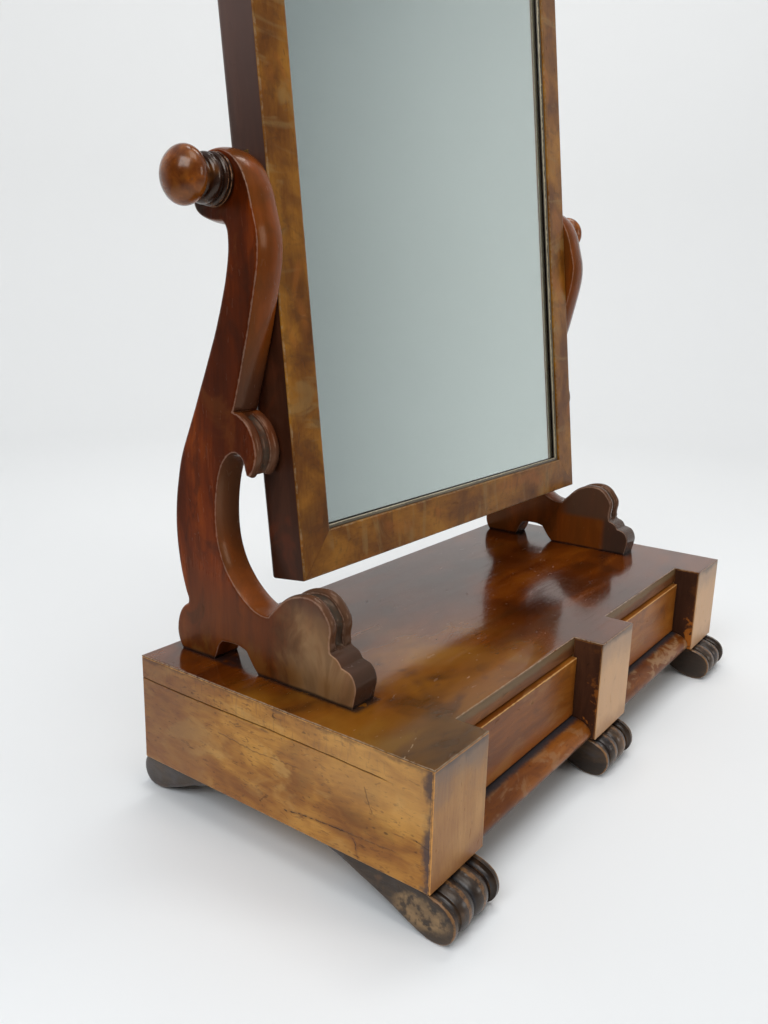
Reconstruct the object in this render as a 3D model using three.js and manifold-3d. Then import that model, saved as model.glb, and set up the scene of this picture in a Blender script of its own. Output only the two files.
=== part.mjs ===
// Table-top swing dressing mirror: a breakfront box base with two drawers on
// scroll feet, two scrolled uprights, and a framed looking glass that tilts
// between them on screwed pivots with turned knobs.
// Millimetres, +Z up, front faces -Y, origin on the surface it stands on,
// under the centre of the whole object.
import * as THREE from 'three';
import { mergeVertices } from 'three/addons/utils/BufferGeometryUtils.js';
import Module from 'manifold-3d';

const wasm = await Module();
wasm.setup();

// ---- driving dimensions -------------------------------------------------
const GAP = 0.2;            // glue line between fixed pieces
const FOOT_H = 39;          // underside of the box above the surface
const BOX_W = 660;          // base box, left to right
const BOX_D = 314;          // base box, front to back
const BOX_H = 100;          // base box, height
const BLOCK_W = 75;         // each projecting front block
const BAY_RECESS = 30;      // how far the drawer bays sit back
const VENEER = 1.2;         // veneer on the top and on the block fronts
const SIDE_T = 12;          // carcase side
const BOTTOM_T = 18;        // carcase bottom
const TOP_T = 17.7;         // carcase top with its veneer
const BACK_T = 10;          // carcase back
const PARTITION_T = 12;     // drawer partition
const NOSE_Y = -152.7;      // front of the rounded rail below each drawer
const DRAWER_FACE_Y = -132; // drawer fronts stand 5 mm proud of the bay
const DRAWER_FRONT_T = 14;
const DRAWER_SIDE_T = 7;
const DRAWER_DEPTH = 252;
const DRAWER_CLEAR = 0.8;
const FOOT_W = 66;          // front feet
const REAR_FOOT_W = 42;
const UPRIGHT_OUT = 295;    // outer face of each upright from the centre
const UPRIGHT_T = 28.5;
const PIVOT_Y = 86;         // tilt axis
const PIVOT_Z = 540;
const TILT = 6.94;          // degrees, leaning back at rest
const MIRROR_W = 530;
const MIRROR_H = 650;
const MIRROR_D = 40;
const MEMBER_W = 37.5;      // face width of the frame members
const PIVOT_FROM_BOTTOM = 324.4;
const PIVOT_FROM_FRONT = 26.5;
const LIP_D = 6.5;          // thickness of the lip in front of the glass
const REBATE_W = 10;
const GLASS_T = 4;
const SPINDLE_R = 4;

const TOP_Z = FOOT_H + BOX_H;         // top of the base
const HW = BOX_W / 2, HD = BOX_D / 2;
const BAY_Y = -HD + BAY_RECESS;       // front edge of the carcase in a bay

// ---- materials ----------------------------------------------------------
const mat = (color, roughness, metalness = 0) =>
  new THREE.MeshStandardMaterial({ color, roughness, metalness });
const MAHOGANY_BOX = [0x8f6238, 0.35], MAHOGANY_TOP = [0x5e3a22, 0.22];
const MAHOGANY_DARK = [0x4a2010, 0.28], MAHOGANY_FRAME = [0x6b4422, 0.35];
const FOOT_WOOD = [0x3a2c24, 0.45], PINE = [0xb08a5c, 0.75];
const BRASS = [0x9a7a3c, 0.4, 0.9], STEEL = [0x6a6a6a, 0.45, 0.9];
const GLASS = [0xb4bcb8, 0.05, 0.9];

const root = new THREE.Group();
function add(name, geometry, m, parent = root) {
  const mesh = new THREE.Mesh(geometry, mat(...m));
  mesh.name = name;
  parent.add(mesh);
  return mesh;
}

// ---- geometry helpers ---------------------------------------------------
// box between two corners
function boxGeo(x0, x1, y0, y1, z0, z1) {
  const g = new THREE.BoxGeometry(x1 - x0, y1 - y0, z1 - z0);
  g.translate((x0 + x1) / 2, (y0 + y1) / 2, (z0 + z1) / 2);
  return g;
}
const shapeOf = (pts) => new THREE.Shape(pts.map(([a, b]) => new THREE.Vector2(a, b)));
function area(pts) {
  let s = 0;
  for (let i = 0; i < pts.length; i++) {
    const [a, b] = pts[i], [c, d] = pts[(i + 1) % pts.length];
    s += a * d - c * b;
  }
  return s / 2;
}
// plan outline (x, y) raised from z0 to z1
function slab(pts, z0, z1) {
  const g = new THREE.ExtrudeGeometry(shapeOf(pts), { depth: z1 - z0, bevelEnabled: false, steps: 1 });
  g.translate(0, 0, z0);
  return g;
}
// side profile (y, z) run along X from x0 to x1
function prismX(pts, x0, x1) {
  const g = new THREE.ExtrudeGeometry(shapeOf(pts), { depth: x1 - x0, bevelEnabled: false, steps: 1 });
  const m = new THREE.Matrix4().makeBasis(
    new THREE.Vector3(0, 1, 0), new THREE.Vector3(0, 0, 1), new THREE.Vector3(1, 0, 0));
  g.applyMatrix4(m);
  g.translate(x0, 0, 0);
  return g;
}
// round bar along X, or along Z
function barX(r, x0, x1, y, z, seg = 16) {
  const g = new THREE.CylinderGeometry(r, r, x1 - x0, seg);
  g.rotateZ(-Math.PI / 2);
  g.translate((x0 + x1) / 2, y, z);
  return g;
}
function barZ(r, z0, z1, x, y, seg = 12) {
  const g = new THREE.CylinderGeometry(r, r, z1 - z0, seg);
  g.rotateX(Math.PI / 2);
  g.translate(x, y, (z0 + z1) / 2);
  return g;
}
function solid(geometry) {
  let g = geometry.clone();
  g.deleteAttribute('normal');
  g.deleteAttribute('uv');
  g = mergeVertices(g, 1e-4);
  const n = g.index ? g.index.array : Uint32Array.from({ length: g.attributes.position.count }, (_, i) => i);
  return new wasm.Manifold(new wasm.Mesh({
    numProp: 3,
    vertProperties: Float32Array.from(g.attributes.position.array),
    triVerts: Uint32Array.from(n),
  }));
}
function geometryOf(manifold) {
  const mesh = manifold.getMesh();
  const g = new THREE.BufferGeometry();
  const p = new Float32Array(mesh.vertProperties.length / mesh.numProp * 3);
  for (let i = 0; i < p.length / 3; i++)
    for (let k = 0; k < 3; k++) p[3 * i + k] = mesh.vertProperties[i * mesh.numProp + k];
  g.setAttribute('position', new THREE.BufferAttribute(p, 3));
  g.setIndex(new THREE.BufferAttribute(Uint32Array.from(mesh.triVerts), 1));
  g.computeVertexNormals();
  return g;
}
function cut(geometry, ...tools) {
  let s = solid(geometry);
  for (const t of tools) s = s.subtract(solid(t));
  return geometryOf(s);
}
function join(...parts) {
  let s = solid(parts[0]);
  for (const t of parts.slice(1)) s = s.add(solid(t));
  return s;
}
// points of an arc, degrees
function arc(cx, cy, r, a0, a1, n) {
  const out = [];
  for (let i = 0; i <= n; i++) {
    const a = (a0 + (a1 - a0) * i / n) * Math.PI / 180;
    out.push([cx + r * Math.cos(a), cy + r * Math.sin(a)]);
  }
  return out;
}

// ---- base: carcase ------------------------------------------------------
const C0 = BLOCK_W / 2;               // centre block half width
const B0 = HW - BLOCK_W;              // inner side of the end blocks
const outline = [
  [-HW, -HD], [-B0, -HD], [-B0, BAY_Y], [-C0, BAY_Y], [-C0, -HD], [C0, -HD],
  [C0, BAY_Y], [B0, BAY_Y], [B0, -HD], [HW, -HD], [HW, HD], [-HW, HD],
];
const UX = UPRIGHT_OUT - UPRIGHT_T / 2;      // centre plane of an upright
const screwSpots = [[-UX, -12], [-UX, 120], [UX, -12], [UX, 120]];
const screwHoles = (z0, z1) => screwSpots.map(([x, y]) => barZ(2.9, z0, z1, x, y));

add('top_veneer', cut(slab(outline, TOP_Z - VENEER, TOP_Z), ...screwHoles(TOP_Z - 5, TOP_Z + 5)), MAHOGANY_TOP);
const carcaseTop = TOP_Z - VENEER - GAP;
add('top_board', cut(boxGeo(-HW + SIDE_T + GAP, HW - SIDE_T - GAP, BAY_Y, HD, TOP_Z - TOP_T, carcaseTop),
  ...screwHoles(TOP_Z - 30, TOP_Z + 5)), PINE);
for (const [side, s] of [['left', -1], ['right', 1]]) {
  add(`side_board_${side}`, boxGeo(
    Math.min(s * HW, s * (HW - SIDE_T)), Math.max(s * HW, s * (HW - SIDE_T)),
    -HD + VENEER + GAP, HD, FOOT_H, carcaseTop), MAHOGANY_BOX);
}
add('bottom_board', boxGeo(-HW + SIDE_T + GAP, HW - SIDE_T - GAP, BAY_Y, HD - BACK_T - GAP, FOOT_H, FOOT_H + BOTTOM_T), PINE);
add('back_board', boxGeo(-HW + SIDE_T + GAP, HW - SIDE_T - GAP, HD - BACK_T, HD, FOOT_H, TOP_Z - TOP_T - GAP), PINE);

const blocks = [
  ['left', -HW, -B0, -HW + SIDE_T + GAP, -B0],
  ['centre', -C0, C0, -C0, C0],
  ['right', B0, HW, B0, HW - SIDE_T - GAP],
];
for (const [name, vx0, vx1, bx0, bx1] of blocks) {
  add(`front_block_${name}`, boxGeo(bx0, bx1, -HD + VENEER + GAP, BAY_Y - GAP, FOOT_H, carcaseTop), MAHOGANY_BOX);
  add(`block_veneer_${name}`, boxGeo(vx0, vx1, -HD, -HD + VENEER, FOOT_H, carcaseTop), MAHOGANY_BOX);
}

// thumb-moulded rail in front of the bottom board, one in each bay: a long
// convex sweep from the drawer down and out to a small rounded lower edge
const RAIL_SWEEP_Y = DRAWER_FACE_Y + 1.5, RAIL_SWEEP_Z = FOOT_H + 4;
const railProfile = [
  [BAY_Y - GAP, FOOT_H], [BAY_Y - GAP, FOOT_H + BOTTOM_T],
  ...Array.from({ length: 11 }, (_, i) => {
    const a = (90 + 9 * i) * Math.PI / 180;
    return [RAIL_SWEEP_Y + (RAIL_SWEEP_Y - NOSE_Y) * Math.cos(a), RAIL_SWEEP_Z + (BOTTOM_T - 4) * Math.sin(a)];
  }),
  [NOSE_Y + 0.6, FOOT_H + 1.8], [NOSE_Y + 2.2, FOOT_H + 0.5], [NOSE_Y + 4, FOOT_H],
];
add('lower_rail_left', prismX(railProfile, -B0 + GAP, -C0 - GAP), MAHOGANY_BOX);
add('lower_rail_right', prismX(railProfile, C0 + GAP, B0 - GAP), MAHOGANY_BOX);

const partitionZ0 = FOOT_H + BOTTOM_T + GAP, partitionZ1 = TOP_Z - TOP_T - GAP;
[[-B0 - PARTITION_T, -B0], [-C0, -C0 + PARTITION_T], [C0 - PARTITION_T, C0], [B0, B0 + PARTITION_T]]
  .forEach(([x0, x1], i) => add(`drawer_partition_${i + 1}`,
    boxGeo(x0, x1, BAY_Y, HD - BACK_T - GAP, partitionZ0, partitionZ1), PINE));

// ---- drawers ------------------------------------------------------------
const dz0 = FOOT_H + BOTTOM_T + 1.2, dz1 = TOP_Z - TOP_T - 1.8;
const dBack = DRAWER_FACE_Y + DRAWER_DEPTH;
for (const [side, x0, x1] of [['left', -B0 + DRAWER_CLEAR, -C0 - DRAWER_CLEAR], ['right', C0 + DRAWER_CLEAR, B0 - DRAWER_CLEAR]]) {
  const yf = DRAWER_FACE_Y + DRAWER_FRONT_T + GAP;
  add(`drawer_${side}_front`, boxGeo(x0, x1, DRAWER_FACE_Y, DRAWER_FACE_Y + DRAWER_FRONT_T, dz0, dz1), MAHOGANY_BOX);
  add(`drawer_${side}_side_1`, boxGeo(x0, x0 + DRAWER_SIDE_T, yf, dBack, dz0, dz1 - 6), PINE);
  add(`drawer_${side}_side_2`, boxGeo(x1 - DRAWER_SIDE_T, x1, yf, dBack, dz0, dz1 - 6), PINE);
  add(`drawer_${side}_back`, boxGeo(x0 + DRAWER_SIDE_T + GAP, x1 - DRAWER_SIDE_T - GAP, dBack - DRAWER_SIDE_T, dBack, dz0 + 6.4, dz1 - 10), PINE);
  add(`drawer_${side}_bottom`, boxGeo(x0 + DRAWER_SIDE_T + GAP, x1 - DRAWER_SIDE_T - GAP, yf, dBack, dz0 + 2, dz0 + 6), PINE);
}

// ---- feet ---------------------------------------------------------------
// side profile: a roll at the front that tapers away to the back
const footProfile = [
  [-58, 0], [-59, -3], [-72, -6.5], [-90, -13.2], [-111, -20.8], [-130, -29.4],
  [-140, -33.9], [-149, -37.3], [-155.5, -39], [-163, -39], [-169, -37.6], [-174, -33.7],
  [-177, -28.2], [-178, -22.5], [-177.2, -17], [-175, -12.3], [-171.5, -8.8],
  [-167, -6.2], [-162, -4.4], [-156, -3], [-150, -1.2], [-146, 0],
].map(([y, z]) => [y, z + FOOT_H - (z === 0 ? GAP : 0)]);
const rearProfile = footProfile.map(([y, z]) => [-y, z]).reverse();
for (const [name, x, dy] of [['left', -HW + 2 + FOOT_W / 2, 0], ['centre', -3, 7], ['right', HW - 2 - FOOT_W / 2, 0]])
  add(`foot_front_${name}`, prismX(footProfile.map(([y, z]) => [y + dy, z]), x - FOOT_W / 2, x + FOOT_W / 2), FOOT_WOOD);
for (const [name, s] of [['left', -1], ['right', 1]]) {
  const x = s * (HW - 13 - REAR_FOOT_W / 2);
  add(`foot_rear_${name}`, prismX(rearProfile, x - REAR_FOOT_W / 2, x + REAR_FOOT_W / 2), FOOT_WOOD);
}

// ---- uprights -----------------------------------------------------------
// outline in (y, height above the base top), starting at the front of the foot
const uprightOutline = [
  [-55.7, 0], [-57.6, 9.1], [-58.9, 18.0], [-57.3, 23.5], [-55.2, 27.1], [-52.2, 29.6], [-48.1, 30.9],
  [-44.1, 31.9], [-43.0, 33.7], [-40.9, 36.5], [-37.8, 38.6], [-33.7, 40.0],
  [-31.1, 42.3], [-30.0, 48.0], [-30.6, 54.0], [-31.4, 59.3], [-30.3, 64.9], [-28.2, 68.2], [-26.1, 70.9],
  [-23.0, 74.8], [-18.8, 78.0], [-14.6, 79.9], [-9.4, 80.7], [-4.1, 80.5], [1.3, 79.6], [10.0, 76.3],
  [17.7, 71.1], [22.1, 66.8], [26.4, 62.3], [30.6, 58.3], [34.6, 55.3],
  [41.5, 54.8], [48.5, 56.2], [55.5, 59.2], [61.3, 62.9], [67.2, 67.5], [73.1, 73.0], [79.0, 79.9],
  [83.7, 86.3], [87.2, 92.7], [90.6, 101.0], [92.6, 107.5], [94.1, 115.5], [95.0, 124.1], [95.2, 132.9],
  [94.9, 141.7], [94.0, 150.5], [92.6, 159.4], [90.4, 168.2], [87.2, 176.3], [82.6, 182.9], [77.9, 187.0],
  [73.9, 188.8], [69.3, 189.0], [64.7, 186.8], [61.4, 182.3], [59.4, 176.0],
  [58.1, 172.0], [55.3, 172.6], [52.7, 176.0], [50.2, 181.3], [48.7, 186.4], [48.4, 191.0], [49.2, 196.2],
  [51.2, 202.4], [54.3, 208.6], [58.7, 213.7], [64.3, 217.9], [69.0, 220.4], [72.3, 222.6],
  [70.7, 227.3], [68.2, 236.0], [64.9, 247.0], [62.2, 256.7], [59.8, 266.2], [56.6, 278.0], [53.9, 288.8],
  [51.4, 300.0], [48.7, 312.0], [46.0, 324.5], [44.1, 334.5], [42.9, 345.0], [42.8, 355.0], [44.0, 364.2],
  [46.2, 372.3], [48.6, 380.6], [50.7, 388.0], [53.3, 396.0], [56.8, 403.3], [60.4, 409.2], [65.0, 414.4],
  [71.0, 419.0], [78.0, 422.1], [85.6, 423.7], [92.2, 423.1], [98.6, 421.2], [104.5, 417.6], [109.3, 412.6],
  [112.5, 406.5], [114.0, 399.5], [113.7, 391.5], [112.2, 384.3],
  [109.8, 379.6], [105.3, 376.0], [99.6, 373.6], [94.0, 372.0], [88.3, 371.2], [80.9, 370.5],
  [77.6, 367.4], [75.9, 363.4], [75.0, 356.3], [75.0, 348.9], [75.8, 341.4], [77.1, 333.9], [78.9, 325.3],
  [81.8, 314.9], [85.0, 304.2], [88.7, 293.0], [93.0, 281.0], [97.3, 270.6], [101.5, 260.4], [106.2, 249.0],
  [110.5, 239.1], [114.5, 229.4], [118.4, 220.1], [122.6, 210.8], [127.0, 200.8], [131.3, 191.3],
  [135.1, 182.1], [138.1, 173.0], [140.3, 163.9], [142.1, 154.7], [143.6, 147.0], [144.8, 138.1],
  [145.7, 127.5], [146.1, 117.8], [145.9, 108.7], [145.2, 99.6], [144.1, 90.5], [142.6, 81.4],
  [140.7, 72.9], [138.5, 64.8], [135.8, 56.4], [132.8, 47.8], [133.6, 44.4],
  [139.1, 40.9], [143.4, 35.7], [146.4, 29.0], [148.1, 21.8], [148.4, 15.0], [147.4, 9.4], [145.5, 4.6], [142.3, 0],
  [101.0, 0], [98.6, 4.1], [96.5, 9.6], [94.2, 15.0], [90.5, 19.1], [80.5, 20.3], [68.2, 19.9], [61.0, 17.9],
  [57.2, 12.2], [52.8, 6.2], [46.9, 0],
];
for (const [side, s] of [['left', -1], ['right', 1]]) {
  const x0 = s < 0 ? -UPRIGHT_OUT : UPRIGHT_OUT - UPRIGHT_T, x1 = x0 + UPRIGHT_T;
  const pts = uprightOutline.map(([y, z]) => [y, z + TOP_Z + GAP]);
  const drill = screwSpots.filter(([x]) => Math.sign(x) === s).map(([x, y]) => barZ(2.9, TOP_Z - 5, TOP_Z + 32, x, y));
  add(`upright_${side}`, cut(prismX(pts, x0, x1), barX(SPINDLE_R + 1, x0 - 2, x1 + 2, PIVOT_Y, PIVOT_Z), ...drill), MAHOGANY_DARK);
}
// wood screws up through the base top into the feet of the uprights
['left_front', 'left_rear', 'right_front', 'right_rear'].forEach((name, i) => {
  const [x, y] = screwSpots[i];
  const zHead = TOP_Z - TOP_T - GAP;
  add(`upright_screw_${name}`, geometryOf(join(
    barZ(2.5, zHead - 1, TOP_Z + 30, x, y), barZ(5.5, zHead - 2.6, zHead, x, y))), STEEL);
});

// ---- looking glass ------------------------------------------------------
// everything here is drawn about the tilt axis: x across, y from the axis
// towards the back, z up along the frame
const glass = new THREE.Group();
glass.position.set(0, PIVOT_Y, PIVOT_Z);
glass.rotation.x = -TILT * Math.PI / 180;
root.add(glass);
const n0 = -PIVOT_FROM_FRONT, v0 = -PIVOT_FROM_BOTTOM, v1 = v0 + MIRROR_H, MW = MIRROR_W / 2;

// frame member with mitred ends: section is (distance in from the outer edge,
// depth from the front), run along its length and sheared to 45 degrees
function member(section, length, shorten) {
  const g = new THREE.ExtrudeGeometry(shapeOf(section), { depth: length, bevelEnabled: false, steps: 1 });
  const p = g.attributes.position;
  for (let i = 0; i < p.count; i++) {
    const s = p.getX(i), z = p.getZ(i);
    p.setZ(i, z < length / 2 ? z + s + shorten : z - s - shorten);
  }
  return g;
}
const I3 = (a, b, c) => new THREE.Matrix4().makeBasis(new THREE.Vector3(...a), new THREE.Vector3(...b), new THREE.Vector3(...c));
// side members run up +Z, rails run along X; determinants are kept positive
function placeMember(g, where, inset) {
  if (where === 'left') { // inward = +x, depth = +y, along = +z
    g.applyMatrix4(I3([1, 0, 0], [0, 1, 0], [0, 0, 1])); g.translate(-MW + inset, n0, v0 + inset);
  } else if (where === 'right') { // inward = -x, depth = +y, along = -z
    g.applyMatrix4(I3([-1, 0, 0], [0, 1, 0], [0, 0, -1])); g.translate(MW - inset, n0, v1 - inset);
  } else if (where === 'bottom') { // inward = +z, depth = +y, along = -x
    g.applyMatrix4(I3([0, 0, 1], [0, 1, 0], [-1, 0, 0])); g.translate(MW - inset, n0, v0 + inset);
  } else { // top: inward = -z, depth = +y, along = +x
    g.applyMatrix4(I3([0, 0, -1], [0, 1, 0], [1, 0, 0])); g.translate(-MW + inset, n0, v1 - inset);
  }
  return g;
}
const frameSection = [
  [0.8, 0], [MEMBER_W - 0.6, 0], [MEMBER_W, 0.6], [MEMBER_W, LIP_D], [MEMBER_W - REBATE_W, LIP_D],
  [MEMBER_W - REBATE_W, MIRROR_D], ...arc(6, MIRROR_D - 6, 6, 90, 180, 5), [0, 0.8],
];
if (area(frameSection) < 0) frameSection.reverse();
const slipSection = [[0.15, 2.6], [1.5, 2.6], [2.6, 3.3], [3.2, 4.6], [3.2, 6.3], [0.15, 6.3]];
const plateHole = (s) => {
  const x = s * MW;
  return [
    boxGeo(Math.min(x - s * 2.4, x + s), Math.max(x - s * 2.4, x + s), -8.2, 10.2, -25.2, 25.2),
    barX(SPINDLE_R + 1, Math.min(x + s, x - s * 16), Math.max(x + s, x - s * 16), 0, 0, 14),
  ];
};
for (const [where, length] of [['left', MIRROR_H], ['right', MIRROR_H], ['top', MIRROR_W], ['bottom', MIRROR_W]]) {
  let g = placeMember(member(frameSection, length, 0.12), where, 0);
  if (where === 'left') g = cut(g, ...plateHole(-1));
  if (where === 'right') g = cut(g, ...plateHole(1));
  const kind = (where === 'left' || where === 'right') ? 'stile' : 'rail';
  add(`mirror_${kind}_${where}`, g, MAHOGANY_FRAME, glass);
  const inner = length - 2 * MEMBER_W;
  add(`glass_slip_${where}`, placeMember(member(slipSection, inner, 0.12), where, MEMBER_W), MAHOGANY_FRAME, glass);
}
const gx = MW - MEMBER_W + REBATE_W - 1.2;
add('mirror_glass', boxGeo(-gx, gx, n0 + LIP_D + 0.3, n0 + LIP_D + 0.3 + GLASS_T,
  v0 + MEMBER_W - REBATE_W + 1.2, v1 - MEMBER_W + REBATE_W - 1.2), GLASS, glass);
add('mirror_backboard', boxGeo(-gx, gx, n0 + MIRROR_D - 8, n0 + MIRROR_D - 1.5,
  v0 + MEMBER_W - REBATE_W + 1.2, v1 - MEMBER_W + REBATE_W - 1.2), PINE, glass);

// ---- pivots -------------------------------------------------------------
const inner = UPRIGHT_OUT - UPRIGHT_T;      // inner face of an upright
// threaded plate let into each stile, with a boss that meets the upright
for (const [side, s] of [['left', -1], ['right', 1]]) {
  const lo = (a, b) => Math.min(s * a, s * b), hi = (a, b) => Math.max(s * a, s * b);
  const body = join(
    boxGeo(lo(MW - 2.1, MW + 0.4), hi(MW - 2.1, MW + 0.4), -8, 10, -25, 25),
    barX(9, lo(MW + 0.2, inner - 0.4), hi(MW + 0.2, inner - 0.4), 0, 0, 20));
  add(`pivot_plate_${side}`, geometryOf(body.subtract(solid(
    barX(SPINDLE_R + 0.3, lo(MW - 10, inner + 5), hi(MW - 10, inner + 5), 0, 0, 16)))), BRASS, glass);
}
// turned knob: radius against distance out from the upright's face
const knobProfile = [
  [0, 48.0], [4, 47.7], [8, 46.8], [12, 45.1], [15.5, 42.9], [18.6, 40.0], [20.9, 36.8], [21.9, 33.6],
  [21.7, 30.4], [20.3, 27.2], [17.8, 24.6], [14.8, 22.8], [13.4, 21.6], [13.2, 20.2], [14.2, 18.9],
  [16.6, 17.9], [18.5, 16.0], [19.2, 13.6], [18.6, 11.2], [17.2, 9.6], [17.2, 8.6], [18.9, 8.0], [19.9, 6.8],
  [19.9, 5.4], [18.8, 4.4], [18.8, 3.5], [20.3, 3.1], [20.6, 2.2], [20.3, 0.9], [19.6, 0.4],
  [SPINDLE_R + 0.3, 0.4], [SPINDLE_R + 0.3, 20.0], [0, 20.0],
];
function knobGeo(s) {
  // revolve about Y, then lay the axis along X pointing outward
  const pts = knobProfile.map(([r, t]) => new THREE.Vector2(r, t)).reverse();
  const g = new THREE.LatheGeometry(pts, 24);
  g.rotateZ(s > 0 ? -Math.PI / 2 : Math.PI / 2);
  g.translate(s * UPRIGHT_OUT, PIVOT_Y, PIVOT_Z);
  return g;
}
for (const [side, s] of [['left', -1], ['right', 1]]) {
  add(`knob_${side}`, knobGeo(s), MAHOGANY_DARK);
  const a = s * (UPRIGHT_OUT + 19.7), b = s * (MW - 12);
  add(`pivot_spindle_${side}`, barX(SPINDLE_R, Math.min(a, b), Math.max(a, b), PIVOT_Y, PIVOT_Z, 14), STEEL);
}

export default root;
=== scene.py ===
import math

import bmesh
import bpy
import numpy as np
from mathutils import Matrix, Vector
from mathutils import noise as mnoise


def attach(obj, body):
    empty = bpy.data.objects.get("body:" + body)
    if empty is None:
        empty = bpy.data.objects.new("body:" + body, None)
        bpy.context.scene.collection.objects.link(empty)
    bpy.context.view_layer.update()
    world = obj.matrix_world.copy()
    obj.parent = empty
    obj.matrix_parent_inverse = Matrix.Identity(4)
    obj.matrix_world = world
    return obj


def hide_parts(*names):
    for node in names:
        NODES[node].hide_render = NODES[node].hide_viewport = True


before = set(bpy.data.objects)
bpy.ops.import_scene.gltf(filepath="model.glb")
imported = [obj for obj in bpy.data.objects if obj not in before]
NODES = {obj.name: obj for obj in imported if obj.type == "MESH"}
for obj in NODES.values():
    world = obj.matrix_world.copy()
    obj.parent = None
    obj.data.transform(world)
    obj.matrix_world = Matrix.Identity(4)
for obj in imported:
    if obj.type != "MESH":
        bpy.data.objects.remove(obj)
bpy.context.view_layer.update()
scene = bpy.context.scene
MM = 0.001

# ---- the part's own dimensions, millimetres --------------------------------
GAP = 0.2
FOOT_H, BOX_W, BOX_D, BOX_H = 39.0, 660.0, 314.0, 100.0
BLOCK_W, BAY_RECESS, VENEER, SIDE_T = 75.0, 30.0, 1.2, 12.0
BOTTOM_T, TOP_T, BACK_T = 18.0, 17.7, 10.0
NOSE_Y, DRAWER_FACE_Y, DRAWER_FRONT_T, DRAWER_CLEAR = -152.7, -132.0, 14.0, 0.8
FOOT_W, REAR_FOOT_W = 66.0, 42.0
UPRIGHT_OUT, UPRIGHT_T = 295.0, 28.5
PIVOT_Y, PIVOT_Z, TILT = 86.0, 540.0, 6.94
MIRROR_W, MIRROR_H, MIRROR_D, MEMBER_W = 530.0, 650.0, 40.0, 37.5
PIVOT_FROM_BOTTOM, PIVOT_FROM_FRONT = 324.4, 26.5
LIP_D, REBATE_W, GLASS_T, SPINDLE_R = 6.5, 10.0, 4.0, 4.0
TOP_Z = FOOT_H + BOX_H
HW, HD = BOX_W / 2, BOX_D / 2
BAY_Y = -HD + BAY_RECESS
C0, B0 = BLOCK_W / 2, HW - BLOCK_W
CARCASE_TOP = TOP_Z - VENEER - GAP


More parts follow.
